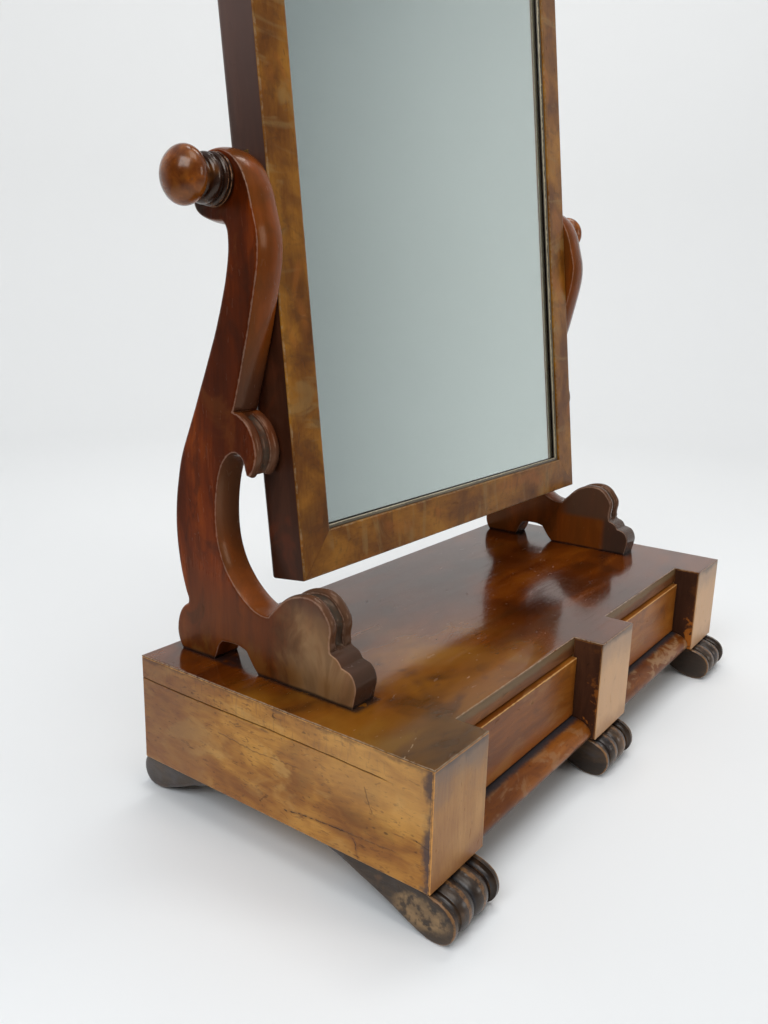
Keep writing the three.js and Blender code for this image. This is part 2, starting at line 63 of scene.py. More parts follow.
# ============================================================================
# node helpers
# ============================================================================
class Tree:
    """Short calls for building one material's nodes."""

    def __init__(self, name):
        self.mat = bpy.data.materials.new(name)
        self.mat.use_nodes = True
        self.t = self.mat.node_tree
        self.t.nodes.clear()
        self.out = self.t.nodes.new("ShaderNodeOutputMaterial")
        self.bsdf = self.t.nodes.new("ShaderNodeBsdfPrincipled")
        self.t.links.new(self.bsdf.outputs[0], self.out.inputs[0])

    def put(self, socket, value):
        if isinstance(value, bpy.types.NodeSocket):
            self.t.links.new(value, socket)
        elif value is not None:
            socket.default_value = value

    def new(self, kind, **props):
        n = self.t.nodes.new(kind)
        for k, v in props.items():
            setattr(n, k, v)
        return n

    def math(self, op, a, b=None, c=None, clamp=False):
        n = self.new("ShaderNodeMath", operation=op, use_clamp=clamp)
        for i, v in enumerate((a, b, c)):
            if v is not None:
                self.put(n.inputs[i], v)
        return n.outputs[0]

    def vmath(self, op, a, b=None, scale=None):
        n = self.new("ShaderNodeVectorMath", operation=op)
        self.put(n.inputs[0], a)
        if b is not None:
            self.put(n.inputs[1], b)
        if scale is not None:
            self.put(n.inputs["Scale"], scale)
        return n.outputs["Value"] if op in ("DOT_PRODUCT", "LENGTH", "DISTANCE") else n.outputs["Vector"]

    def mix(self, fac, a, b, blend="MIX"):
        n = self.new("ShaderNodeMix", data_type="RGBA", blend_type=blend)
        self.put(n.inputs[0], fac)
        self.put(n.inputs[6], a if isinstance(a, bpy.types.NodeSocket) else col(a))
        self.put(n.inputs[7], b if isinstance(b, bpy.types.NodeSocket) else col(b))
        return n.outputs[2]

    def mixf(self, fac, a, b):
        n = self.new("ShaderNodeMix", data_type="FLOAT")
        self.put(n.inputs[0], fac)
        self.put(n.inputs[2], a)
        self.put(n.inputs[3], b)
        return n.outputs[0]

    def ramp(self, fac, stops, interp="LINEAR"):
        n = self.new("ShaderNodeValToRGB")
        r = n.color_ramp
        r.interpolation = interp
        while len(r.elements) > 1:
            r.elements.remove(r.elements[-1])
        r.elements[0].position = stops[0][0]
        r.elements[0].color = col(stops[0][1])
        for p, c in stops[1:]:
            e = r.elements.new(p)
            e.color = col(c)
        self.put(n.inputs[0], fac)
        return n.outputs[0]

    def step(self, v, lo, hi):
        """0 below lo, 1 above hi, smooth between (lo may be above hi)."""
        n = self.new("ShaderNodeMapRange", interpolation_type="SMOOTHSTEP")
        self.put(n.inputs[0], v)
        n.inputs[1].default_value, n.inputs[2].default_value = lo, hi
        return n.outputs[0]

    def noise(self, vec, scale, detail=3.0, rough=0.55, dist=0.0, lac=2.0):
        n = self.new("ShaderNodeTexNoise")
        self.put(n.inputs["Vector"], vec)
        n.inputs["Scale"].default_value = scale
        n.inputs["Detail"].default_value = detail
        n.inputs["Roughness"].default_value = rough
        n.inputs["Lacunarity"].default_value = lac
        n.inputs["Distortion"].default_value = dist
        return n.outputs[0]

    def noisecol(self, vec, scale, detail=2.0):
        n = self.new("ShaderNodeTexNoise")
        self.put(n.inputs["Vector"], vec)
        n.inputs["Scale"].default_value = scale
        n.inputs["Detail"].default_value = detail
        return n.outputs[1]

    def voronoi(self, vec, scale, rnd=1.0):
        n = self.new("ShaderNodeTexVoronoi")
        self.put(n.inputs["Vector"], vec)
        n.inputs["Scale"].default_value = scale
        n.inputs["Randomness"].default_value = rnd
        return n.outputs[0]

    def scaled(self, vec, s, rot=(0, 0, 0), loc=(0, 0, 0)):
        n = self.new("ShaderNodeMapping")
        self.put(n.inputs[0], vec)
        n.inputs[1].default_value = loc
        n.inputs[2].default_value = rot
        n.inputs[3].default_value = s
        return n.outputs[0]

    def attr(self, name, vector=False):
        n = self.new("ShaderNodeAttribute", attribute_type="GEOMETRY", attribute_name=name)
        return n.outputs["Vector"] if vector else n.outputs["Fac"]

    def object_co(self):
        return self.new("ShaderNodeTexCoord").outputs["Object"]

    def xyz(self, vec):
        n = self.new("ShaderNodeSeparateXYZ")
        self.put(n.inputs[0], vec)
        return n.outputs

    def seg(self, p, a, b):
        """Distance in metres from p to the segment a-b (millimetres)."""
        a, b = Vector(a) * MM, Vector(b) * MM
        ab = b - a
        rel = self.vmath("SUBTRACT", p, tuple(a))
        t = self.math("MULTIPLY", self.vmath("DOT_PRODUCT", rel, tuple(ab)), 1 / ab.length_squared, clamp=True)
        return self.vmath("LENGTH", self.vmath("SUBTRACT", rel, self.vmath("SCALE", tuple(ab), scale=t)))

    def lines(self, p, polylines):
        best = None
        for line in polylines:
            for a, b in zip(line[:-1], line[1:]):
                d = self.seg(p, a, b)
                best = d if best is None else self.math("MINIMUM", best, d)
        return best


def col(c):
    """sRGB 0-255 triple to a linear RGBA; a plain number is grey."""
    if isinstance(c, (int, float)):
        c = (c * 255,) * 3 if c <= 1 else (c,) * 3
    if len(c) == 4:
        return tuple(c)
    out = []
    for v in c:
        v = v / 255
        out.append(v / 12.92 if v <= 0.04045 else ((v + 0.055) / 1.055) ** 2.4)
    return (*out, 1.0)


def wood(name, tones, *, coords="gco", object_scale=(1, 1, 1), figure=(5.0, 42.0, 42.0), figure_mix=0.62,
         blotch=9.0, blotch_mix=0.3, mottle=0.0, mottle_scale=(55, 14, 14), fleck=0.5, fleck_col=(45, 24, 16),
         pores=0.35, rough=(0.28, 0.42), coat=0.25, coat_rough=0.12, bump=0.25, wear_col=(205, 150, 95),
         wear_amount=0.8, dirt_col=(38, 32, 34), ripple=0.0, gain=(1, 1, 1), crack_col=(16, 9, 7), extra=None, spec=0.5, tint=(1.0, 0.8, 0.62)):
    """Polished or plain wood. The grain runs along the first axis of the coordinates."""
    n = Tree(name)
    P = n.object_co()
    G = n.attr("gco", vector=True) if coords == "gco" else n.scaled(P, object_scale)
    warp = n.vmath("SCALE", n.vmath("SUBTRACT", n.noisecol(G, 7.0), (0.5, 0.5, 0.5)), scale=0.028)
    Gw = n.vmath("ADD", G, warp)
    fig = n.noise(n.scaled(Gw, figure), 1.0, 5.0, 0.62, 0.35)
    fine = n.noise(n.scaled(Gw, (22.0, 420.0, 420.0)), 1.0, 3.0, 0.6)
    blot = n.noise(G, blotch, 3.0, 0.55, 0.4)
    v = n.math("ADD", n.math("MULTIPLY", fig, figure_mix), n.math("MULTIPLY", blot, blotch_mix))
    v = n.math("ADD", v, n.math("MULTIPLY", fine, 1.0 - figure_mix - blotch_mix))
    if mottle:
        mot = n.noise(n.scaled(Gw, mottle_scale, rot=(0, 0, 0.5)), 1.0, 2.0, 0.5, 0.6)
        v = n.math("ADD", v, n.math("MULTIPLY", n.math("SUBTRACT", mot, 0.5), mottle))
    v = n.step(v, 0.30, 0.70)
    tones = [(p, (*[min(1.0, q * g) for q, g in zip(col(t)[:3], gain)], 1.0)) for p, t in tones]
    c = n.ramp(v, tones)
    # pores: short dark dashes along the grain
    por = n.noise(n.scaled(G, (130.0, 1500.0, 1500.0)), 1.0, 2.0, 0.5)
    por = n.step(por, 0.60, 0.74)
    c = n.mix(n.math("MULTIPLY", por, pores), c, fleck_col)
    # flecks and small bruises in the polish
    flk = n.noise(n.scaled(G, (85.0, 200.0, 200.0), rot=(0.2, 0.3, 0.35)), 1.0, 2.5, 0.55, 0.7)
    flk = n.step(flk, 0.655, 0.735)
    c = n.mix(n.math("MULTIPLY", flk, fleck), c, fleck_col)
    state = {"P": P, "G": G, "c": c, "n": n, "rough_add": None, "bump_sub": None, "fig": fig, "blot": blot}
    if extra:
        extra(state)
    c = state["c"]
    wn = n.noise(P, 210.0, 3.0, 0.7)
    wear = n.attr("wear")
    wmask = n.step(n.math("ADD", wear, n.math("MULTIPLY", n.math("SUBTRACT", wn, 0.5), 1.15)), 0.42, 0.78)
    wmask = n.math("MULTIPLY", wmask, wear_amount)
    c = n.mix(wmask, c, wear_col)
    # darkening towards the dirt-and-shade colour: grime in joints and hollows on most parts, painted shade on the
    # rails, the drawer fronts and the slip beads
    dirt = n.attr("dirt")
    dirt_and_shade_mask = n.step(n.math("ADD", dirt, n.math("MULTIPLY", n.math("SUBTRACT", wn, 0.5), 0.8)), 0.35, 0.95)
    dirt_and_shade_mask = n.math("MULTIPLY", dirt_and_shade_mask, 0.88)
    c = n.mix(dirt_and_shade_mask, c, dirt_col)
    crack = n.attr("crack")
    c = n.mix(crack, c, crack_col)
    n.put(n.bsdf.inputs["Base Color"], c)
    r = n.mixf(n.math("ADD", n.math("MULTIPLY", fine, 0.6), n.math("MULTIPLY", blot, 0.4)), rough[0], rough[1])
    r = n.math("ADD", r, n.math("MULTIPLY", wmask, 0.16))
    r = n.math("ADD", r, n.math("MULTIPLY", n.math("ADD", dirt_and_shade_mask, flk), 0.18))
    if state["rough_add"] is not None:
        r = n.math("ADD", r, state["rough_add"], clamp=True)
    n.put(n.bsdf.inputs["Roughness"], n.math("MINIMUM", r, 0.95))
    h = n.math("SUBTRACT", n.math("MULTIPLY", fine, 0.25), n.math("MULTIPLY", por, 0.35))
    h = n.math("SUBTRACT", h, n.math("MULTIPLY", flk, 0.8))
    if state["bump_sub"] is not None:
        h = n.math("SUBTRACT", h, state["bump_sub"])
    b = n.new("ShaderNodeBump")
    b.inputs["Strength"].default_value = bump
    b.inputs["Distance"].default_value = 0.0006
    n.put(b.inputs["Height"], h)
    normal = b.outputs[0]
    if ripple:
        rb = n.new("ShaderNodeBump")
        rb.inputs["Strength"].default_value = ripple
        rb.inputs["Distance"].default_value = 0.004
        n.put(rb.inputs["Height"], n.noise(n.scaled(G, (9, 20, 20)), 1.0, 2.0, 0.5))
        n.put(rb.inputs["Normal"], normal)
        normal = rb.outputs[0]
    n.put(n.bsdf.inputs["Normal"], normal)
    n.bsdf.inputs["Coat Weight"].default_value = coat
    n.bsdf.inputs["Coat Roughness"].default_value = coat_rough
    n.bsdf.inputs["Specular IOR Level"].default_value = spec
    n.bsdf.inputs["Specular Tint"].default_value = (*tint, 1.0)
    return n.mat


# ============================================================================
# mesh helpers
# ============================================================================
def hash3(p, scale, seed):
    s = 1.0 / scale
    return np.array([mnoise.noise(Vector((x * s + seed, y * s - 1.7 * seed, z * s + 0.6 * seed))) for x, y, z in p])


def build(name, verts, faces, material, body, replaces=(), wear=None, dirt=None, crack=None, grain=None,
          angle=36.0, caps=(), wobble=0.0, seed=1.0):
    """A mesh from millimetre vertices. grain maps the vertices to (along, across, across) in mm.
    caps is a list of lists of closed vertex loops that are filled flat, holes included."""
    verts = np.asarray(verts, float)
    if grain is None:
        g = verts.copy()
    else:
        g = np.asarray(grain(verts), float)
    if wobble:
        k = hash3(verts, 26.0, seed)
        k2 = hash3(verts, 26.0, seed + 9.0)
        verts = verts + np.stack([np.zeros(len(verts)), k * wobble, k2 * wobble], 1)
    me = bpy.data.meshes.new(name)
    me.from_pydata([tuple(v) for v in verts * MM], [], [tuple(int(i) for i in f) for f in faces])
    shift = np.array([seed * 137.0, seed * 61.0, seed * 83.0])
    a = me.attributes.new("gco", "FLOAT_VECTOR", "POINT")
    a.data.foreach_set("vector", ((g + shift) * MM).astype(np.float32).ravel())
    for key, val in (("wear", wear), ("dirt", dirt), ("crack", crack)):
        a = me.attributes.new(key, "FLOAT", "POINT")
        arr = np.zeros(len(verts), np.float32) if val is None else np.asarray(val, np.float32)
        a.data.foreach_set("value", arr)
    bm = bmesh.new()
    bm.from_mesh(me)
    if caps:
        bm.verts.ensure_lookup_table()
        for loops in caps:
            edges = []
            for loop in loops:
                for i, j in zip(loop, list(loop[1:]) + [loop[0]]):
                    va, vb = bm.verts[int(i)], bm.verts[int(j)]
                    edges.append(bm.edges.get((va, vb)) or bm.edges.new((va, vb)))
            bmesh.ops.triangle_fill(bm, use_beauty=True, use_dissolve=False, edges=edges)
    bmesh.ops.recalc_face_normals(bm, faces=bm.faces)
    bm.to_mesh(me)
    bm.free()
    me.polygons.foreach_set("use_smooth", [True] * len(me.polygons))
    me.set_sharp_from_angle(angle=math.radians(angle))
    me.materials.append(material)
    ob = bpy.data.objects.new(name, me)
    scene.collection.objects.link(ob)
    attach(ob, body)
    if replaces:
        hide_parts(*replaces)
    return ob


def area2(p):
    q = np.roll(p, -1, 0)
    return float((p[:, 0] * q[:, 1] - q[:, 0] * p[:, 1]).sum() / 2)


def outward(p):
    """Offset vectors that push each point of a counter-clockwise outline outward by one unit."""
    e = np.roll(p, -1, 0) - p
    e /= np.linalg.norm(e, axis=1)[:, None]
    ne = np.stack([e[:, 1], -e[:, 0]], 1)
    npv = np.roll(ne, 1, 0)
    s = ne + npv
    d = 1.0 + (ne * npv).sum(1)
    out = s / np.maximum(d, 0.6)[:, None]
    return out


def smooth_outline(pts, step=2.2, corner=33.0, closed=True):
    """Catmull-Rom through the points, broken at sharp corners. Returns points and their index in the list."""
    P = np.asarray(pts, float)
    n = len(P)
    rng_ = range(n) if closed else range(1, n - 1)
    sharp = np.zeros(n, bool)
    for i in rng_:
        a, b = P[i] - P[i - 1], P[(i + 1) % n] - P[i]
        ang = math.degrees(math.acos(max(-1, min(1, a @ b / (np.linalg.norm(a) * np.linalg.norm(b))))))
        sharp[i] = ang > corner
    if not closed:
        sharp[0] = sharp[-1] = True
    out, idx = [], []
    for i in range(n if closed else n - 1):
        j = (i + 1) % n
        p1, p2 = P[i], P[j]
        p0 = P[i - 1] if not sharp[i] else 2 * p1 - p2
        p3 = P[(j + 1) % n] if not sharp[j] else 2 * p2 - p1
        L = np.linalg.norm(p2 - p1)
        k = max(1, int(round(L / step)))
        for q in range(k):
            t = q / k
            d1, d0, d2 = max(L, 1e-6), max(np.linalg.norm(p1 - p0), 1e-6), max(np.linalg.norm(p3 - p2), 1e-6)
            m1 = ((p2 - p1) / d1 * d0 + (p1 - p0) / d0 * d1) / (d0 + d1) * L
            m2 = ((p3 - p2) / d2 * d1 + (p2 - p1) / d1 * d2) / (d1 + d2) * L
            h = (2 * t**3 - 3 * t**2 + 1) * p1 + (t**3 - 2 * t**2 + t) * m1 + (-2 * t**3 + 3 * t**2) * p2 + (t**3 - t**2) * m2
            out.append(h)
            idx.append(i + t)
    if not closed:
        out.append(P[-1])
        idx.append(n - 1)
    return np.array(out), np.array(idx)


def loft(name, outline, stations, place, material, body, replaces, holes=(), grain=None, seed=1.0, angle=36.0,
         wobble=0.0):
    """stations: (t, inset array or number, wear array or number, dirt-and-shade array or number). place(a, b, t) gives
    xyz.
    """
    n = len(outline)
    off = outward(outline)
    V, W, D = [], [], []
    for t, inset, wear, dirt in stations:
        ins = np.broadcast_to(np.asarray(inset, float), (n,))
        ring = outline - off * ins[:, None]
        V.append(place(ring[:, 0], ring[:, 1], np.full(n, t)))
        W.append(np.broadcast_to(np.asarray(wear, float), (n,)))
        D.append(np.broadcast_to(np.asarray(dirt, float), (n,)))
    k = len(stations)
    F = []
    i = np.arange(n)
    j = (i + 1) % n
    for s in range(k - 1):
        F += list(zip(s * n + i, s * n + j, (s + 1) * n + j, (s + 1) * n + i))
    V, W, D = np.concatenate(V), np.concatenate(W), np.concatenate(D)
    first, last = [list(range(n))], [list(range((k - 1) * n, k * n))]
    for ca, cb, r in holes:
        m = 32
        a = np.linspace(0, 2 * math.pi, m, endpoint=False)
        base = len(V)
        for t in (stations[0][0], stations[-1][0]):
            V = np.concatenate([V, place(ca + r * np.cos(a), cb + r * np.sin(a), np.full(m, t))])
            W, D = np.concatenate([W, np.zeros(m)]), np.concatenate([D, np.full(m, 0.8)])
        q = np.arange(m)
        F += list(zip(base + q, base + (q + 1) % m, base + m + (q + 1) % m, base + m + q))
        first.append(list(range(base, base + m)))
        last.append(list(range(base + m, base + 2 * m)))
    return build(name, V, F, material, body, replaces, wear=W, dirt=D, grain=grain, caps=[first, last], seed=seed,
                 angle=angle, wobble=wobble)


def cuts(lo, hi, r, step, extra=()):
    inner = [lo + r + 1.3] if hi - lo > 4 * r + 4 else []
    outer = [hi - r - 1.3] if inner else []
    st = [lo, lo + 0.586 * r, lo + r, *inner]
    a, b = (st[-1], (outer or [hi - r])[0])
    k = max(1, int(round((b - a) / step)))
    st += [a + (b - a) * q / k for q in range(1, k)]
    st += [*outer, hi - r, hi - 0.586 * r, hi]
    extra = [e for e in extra if lo + r + 1.3 < e < hi - r - 1.3]
    if extra:
        st = [s for s in st if all(abs(s - e) > 0.35 * min(step, 1.2) for e in extra) or s <= lo + r or s >= hi - r]
        st += extra
    return np.array(sorted(st))


def rbox(name, x0, x1, y0, y1, z0, z1, material, body, replaces=(), r=0.8, step=(14, 14, 14), grain=None,
         seed=1.0, shape=None, extra=((), (), ()), wear_scale=1.0, soft=0.0, angle=36.0):
    """A box with rounded arrises on a grid. shape(V, info) may move vertices and change wear, dirt-and-shade and crack.
    """
    X = [cuts(a, b, r, s, e) for a, b, s, e in ((x0, x1, step[0], extra[0]), (y0, y1, step[1], extra[1]), (z0, z1, step[2], extra[2]))]
    nx, ny, nz = map(len, X)
    index, P = {}, []

    def vid(i, j, k):
        key = (i, j, k)
        if key not in index:
            index[key] = len(P)
            P.append((X[0][i], X[1][j], X[2][k]))
        return index[key]

    F = []
    for i in (0, nx - 1):
        for j in range(ny - 1):
            for k in range(nz - 1):
                F.append((vid(i, j, k), vid(i, j + 1, k), vid(i, j + 1, k + 1), vid(i, j, k + 1)))
    for j in (0, ny - 1):
        for i in range(nx - 1):
            for k in range(nz - 1):
                F.append((vid(i, j, k), vid(i + 1, j, k), vid(i + 1, j, k + 1), vid(i, j, k + 1)))
    for k in (0, nz - 1):
        for i in range(nx - 1):
            for j in range(ny - 1):
                F.append((vid(i, j, k), vid(i + 1, j, k), vid(i + 1, j + 1, k), vid(i, j + 1, k)))
    P = np.array(P)
    lo, hi = np.array([x0, y0, z0]), np.array([x1, y1, z1])
    d = np.sort(np.stack([P - lo, hi - P]).min(0), axis=1)[:, 1]
    wear = np.clip(1.0 - (d / (r + 1.3)) ** 0.8, 0, 1) * wear_scale
    c = np.clip(P, lo + r, hi - r)
    rel = P - c
    L = np.linalg.norm(rel, axis=1)
    V = c + rel / np.maximum(L, 1e-9)[:, None] * r
    info = {"wear": wear, "dirt": np.zeros(len(P)), "crack": np.zeros(len(P)), "P": P}
    if soft:
        k = hash3(P, 45.0, seed + 3.0)
        inward = np.sign((lo + hi) / 2 - P)
        V = V + inward * (np.stack([P - lo, hi - P]).min(0) < 1e-6) * (soft * (0.5 + 0.5 * k))[:, None]
    if shape:
        V = shape(V, info)
    return build(name, V, F, material, body, replaces, wear=info["wear"], dirt=info["dirt"], crack=info["crack"],
                 grain=grain, seed=seed, angle=angle)


def along(axis):
    order = {"x": (0, 1, 2), "y": (1, 0, 2), "z": (2, 1, 0)}[axis]
    return lambda V: V[:, order]


def lathe(name, profile, place, material, body, replaces, seg=72, grain=None, seed=1.0, wear=None, dirt=None, angle=34.0):
    """profile: (radius, distance along); a radius of 0 at an end closes it."""
    V, F, W, D = [], [], [], []
    rings = []
    for q, (rr, t) in enumerate(profile):
        w = 0 if wear is None else wear[q]
        dd = 0 if dirt is None else dirt[q]
        if rr < 1e-6:
            rings.append([len(V)])
            V.append(place(0.0, 0.0, t))
            W.append(w)
            D.append(dd)
        else:
            rings.append(list(range(len(V), len(V) + seg)))
            for s in range(seg):
                a = 2 * math.pi * s / seg
                V.append(place(rr * math.cos(a), rr * math.sin(a), t))
                W.append(w)
                D.append(dd)
    for a, b in zip(rings[:-1], rings[1:]):
        for s in range(seg):
            s2 = (s + 1) % seg
            if len(a) == 1 and len(b) == 1:
                continue
            if len(a) == 1:
                F.append((a[0], b[s], b[s2]))
            elif len(b) == 1:
                F.append((a[s], b[0], a[s2]))
            else:
                F.append((a[s], a[s2], b[s2], b[s]))
    return build(name, V, F, material, body, replaces, wear=W, dirt=D, grain=grain, seed=seed, angle=angle)


def clip01(v):
    return np.clip(v, 0, 1)


def ease(v):
    v = np.clip(v, 0, 1)
    return v * v * (3 - 2 * v)


# ============================================================================
# materials
# ============================================================================
SIDE_LINES = [
    [(-330, -16.4, 52.2), (-330, -34, 54.8), (-330, -48.2, 56.2), (-330, -70, 58.2), (-330, -81.4, 58.6),
     (-330, -86.6, 55.5), (-330, -89.4, 50.8), (-330, -91.2, 41.7)],
]
SIDE_FAINT = [
    [(-330, -81.4, 58.6), (-330, -102.4, 59.9), (-330, -128.0, 61.1)],
    [(-330, -96, 103), (-330, -104, 84)],
    [(-330, 60, 96), (-330, 20, 92), (-330, -30, 95)],
    [(-330, -140, 78), (-330, -156, 76)],
]


def side_extra(s):
    n, P = s["n"], s["P"]
    x, y, z = n.xyz(P)
    # short dark bruises and drag marks scattered over the polish
    mark = n.noise(n.scaled(P, (60, 95, 300), rot=(0.45, 0, 0)), 1.0, 3.0, 0.6, 0.8)
    s["c"] = n.mix(n.math("MULTIPLY", n.step(mark, 0.59, 0.67), 0.60), s["c"], (92, 56, 30))
    dots = n.step(n.voronoi(n.scaled(P, (1.0, 0.7, 1.3)), 150.0), 0.24, 0.06)
    keep = n.step(n.noise(P, 24.0, 3.0), 0.46, 0.58)
    s["c"] = n.mix(n.math("MULTIPLY", n.math("MULTIPLY", dots, keep), 0.62), s["c"], (66, 38, 24))
    hatch = n.noise(n.scaled(P, (120, 420, 60)), 1.0, 2.0, 0.5)
    strip = n.math("MULTIPLY", n.step(hatch, 0.56, 0.66), n.step(z, 0.112, 0.118))
    s["c"] = n.mix(n.math("MULTIPLY", strip, 0.30), s["c"], (92, 62, 46))
    cloud = n.noise(n.scaled(P, (14, 16, 34)), 1.0, 4.0, 0.62, 0.6)
    s["c"] = n.mix(n.math("MULTIPLY", n.step(cloud, 0.54, 0.72), 0.34), s["c"], (136, 100, 48))
    s["c"] = n.mix(n.math("MULTIPLY", n.step(cloud, 0.50, 0.34), 0.50), s["c"], (202, 156, 86))
    up = n.math("MULTIPLY", n.step(y, 0.02, -0.10), n.step(z, 0.070, 0.105))
    s["c"] = n.mix(n.math("MULTIPLY", up, 0.38), s["c"], (206, 158, 100))
    # browner and greyer towards the back end and along the front arris
    rear = n.step(n.math("ADD", y, n.math("MULTIPLY", n.math("SUBTRACT", s["blot"], 0.5), 0.22)), 0.02, 0.15)
    s["c"] = n.mix(n.math("MULTIPLY", rear, 0.62), s["c"], (104, 66, 54))
    low = n.step(n.math("ADD", z, n.math("MULTIPLY", n.math("SUBTRACT", s["fig"], 0.5), 0.05)), 0.075, 0.04)
    s["c"] = n.mix(n.math("MULTIPLY", low, 0.26), s["c"], (150, 92, 44))
    wn = n.noise(P, 60.0, 4.0, 0.65)
    front = n.step(n.math("ADD", y, n.math("MULTIPLY", n.math("SUBTRACT", wn, 0.5), 0.022)), -0.1470, -0.1545)
    s["c"] = n.mix(n.math("MULTIPLY", front, 0.85), s["c"], (58, 50, 58))
    top = n.step(n.math("ADD", z, n.math("MULTIPLY", n.math("SUBTRACT", wn, 0.5), 0.012)), 0.1335, 0.1375)
    s["c"] = n.mix(n.math("MULTIPLY", top, 0.55), s["c"], (78, 54, 48))
    jit = n.vmath("SCALE", n.vmath("SUBTRACT", n.noisecol(P, 160.0), (0.5, 0.5, 0.5)), scale=0.004)
    Pj = n.vmath("ADD", P, jit)
    d = n.lines(Pj, SIDE_LINES)
    thin = n.step(n.noise(P, 45.0, 2.0), 0.36, 0.56)
    line = n.math("MULTIPLY", n.step(d, 0.0008, 0.0002), n.math("ADD", n.math("MULTIPLY", thin, 0.6), 0.4))
    halo = n.step(d, 0.0026, 0.0006)
    s["c"] = n.mix(n.math("MULTIPLY", halo, 0.35), s["c"], (96, 52, 32))
    s["c"] = n.mix(n.math("MULTIPLY", line, 0.92), s["c"], (34, 18, 16))
    d2 = n.lines(Pj, SIDE_FAINT)
    line2 = n.step(d2, 0.0011, 0.0002)
    s["c"] = n.mix(n.math("MULTIPLY", line2, 0.5), s["c"], (70, 42, 28))
    s["bump_sub"] = n.math("ADD", n.math("MULTIPLY", line, 2.0), line2)


TOP_LINES = [[(-330, -130.3, 139), (-321, -128.2, 139), (-313.5, -125.3, 139), (-303, -121.0, 139), (-296.8, -120.0, 139)],
             [(-188, -96, 139), (-176, -93, 139)]]


def top_extra(s):
    n, P = s["n"], s["P"]
    x, y, z = n.xyz(P)
    warm = n.step(n.math("ADD", y, n.math("MULTIPLY", n.math("SUBTRACT", s["blot"], 0.5), 0.3)), 0.05, -0.10)
    warm = n.math("MULTIPLY", warm, n.step(n.math("ADD", x, n.math("MULTIPLY", n.math("SUBTRACT", s["blot"], 0.5), 0.25)), -0.02, -0.20))
    s["c"] = n.mix(n.math("MULTIPLY", warm, 0.72), s["c"], (146, 90, 22))
    corner = n.math("MULTIPLY", n.step(x, -0.235, -0.262), n.step(n.math("ADD", y, n.math("MULTIPLY", n.math("SUBTRACT", s["blot"], 0.5), 0.06)), -0.075, -0.125))
    s["c"] = n.mix(n.math("MULTIPLY", corner, 0.62), s["c"], (82, 56, 18))
    # stained, cloudy polish: olive-amber islands and near-black patches
    cloud = n.noise(n.scaled(P, (13, 19, 19)), 1.0, 3.0, 0.5, 0.35)
    s["c"] = n.mix(n.math("MULTIPLY", n.math("MULTIPLY", n.step(cloud, 0.48, 0.66), warm), 0.50), s["c"], (148, 102, 32))
    s["c"] = n.mix(n.math("MULTIPLY", n.step(cloud, 0.45, 0.32), 0.60), s["c"], (52, 24, 7))
    left = n.math("MULTIPLY", n.step(x, -0.10, -0.26), n.step(y, -0.02, -0.12))
    s["c"] = n.mix(n.math("MULTIPLY", left, 0.30), s["c"], (58, 36, 14))
    fl = n.noise(n.scaled(P, (70, 190, 190), rot=(0, 0, 0.3)), 1.0, 3.0, 0.6, 0.6)
    s["c"] = n.mix(n.math("MULTIPLY", n.step(fl, 0.63, 0.72), 0.30), s["c"], (60, 32, 14))
    # darker, ragged patches on the top round the soles of the uprights
    for sx in (-1, 1):
        box = n.math("MULTIPLY", n.step(n.math("ABSOLUTE", n.math("ADD", x, -sx * 0.28075)), 0.0195, 0.0135),
                     n.step(n.math("ABSOLUTE", n.math("ADD", y, -0.0455)), 0.112, 0.103))
        rag = n.noise(P, 70.0, 3.0, 0.6)
        s["c"] = n.mix(n.math("MULTIPLY", n.math("MULTIPLY", box, n.step(rag, 0.36, 0.52)), 0.85), s["c"], (26, 22, 24))
    jit = n.vmath("SCALE", n.vmath("SUBTRACT", n.noisecol(P, 120.0), (0.5, 0.5, 0.5)), scale=0.003)
    d = n.lines(n.vmath("ADD", P, jit), TOP_LINES)
    broken = n.step(n.noise(P, 150.0, 2.0), 0.42, 0.56)
    line = n.math("MULTIPLY", n.step(d, 0.0007, 0.0002), broken)
    s["c"] = n.mix(n.math("MULTIPLY", line, 0.7), s["c"], (150, 120, 84))
    dust = n.noise(P, 26.0, 4.0, 0.7)
    streak = n.noise(n.scaled(P, (9, 150, 150)), 1.0, 3.0, 0.6)
    s["rough_add"] = n.math("ADD", n.math("MULTIPLY", n.step(dust, 0.52, 0.75), 0.06), n.math("MULTIPLY", line, 0.3))
    s["rough_add"] = n.math("ADD", s["rough_add"], n.math("MULTIPLY", n.step(streak, 0.5, 0.7), 0.07))
    s["bump_sub"] = n.math("MULTIPLY", line, 1.6)


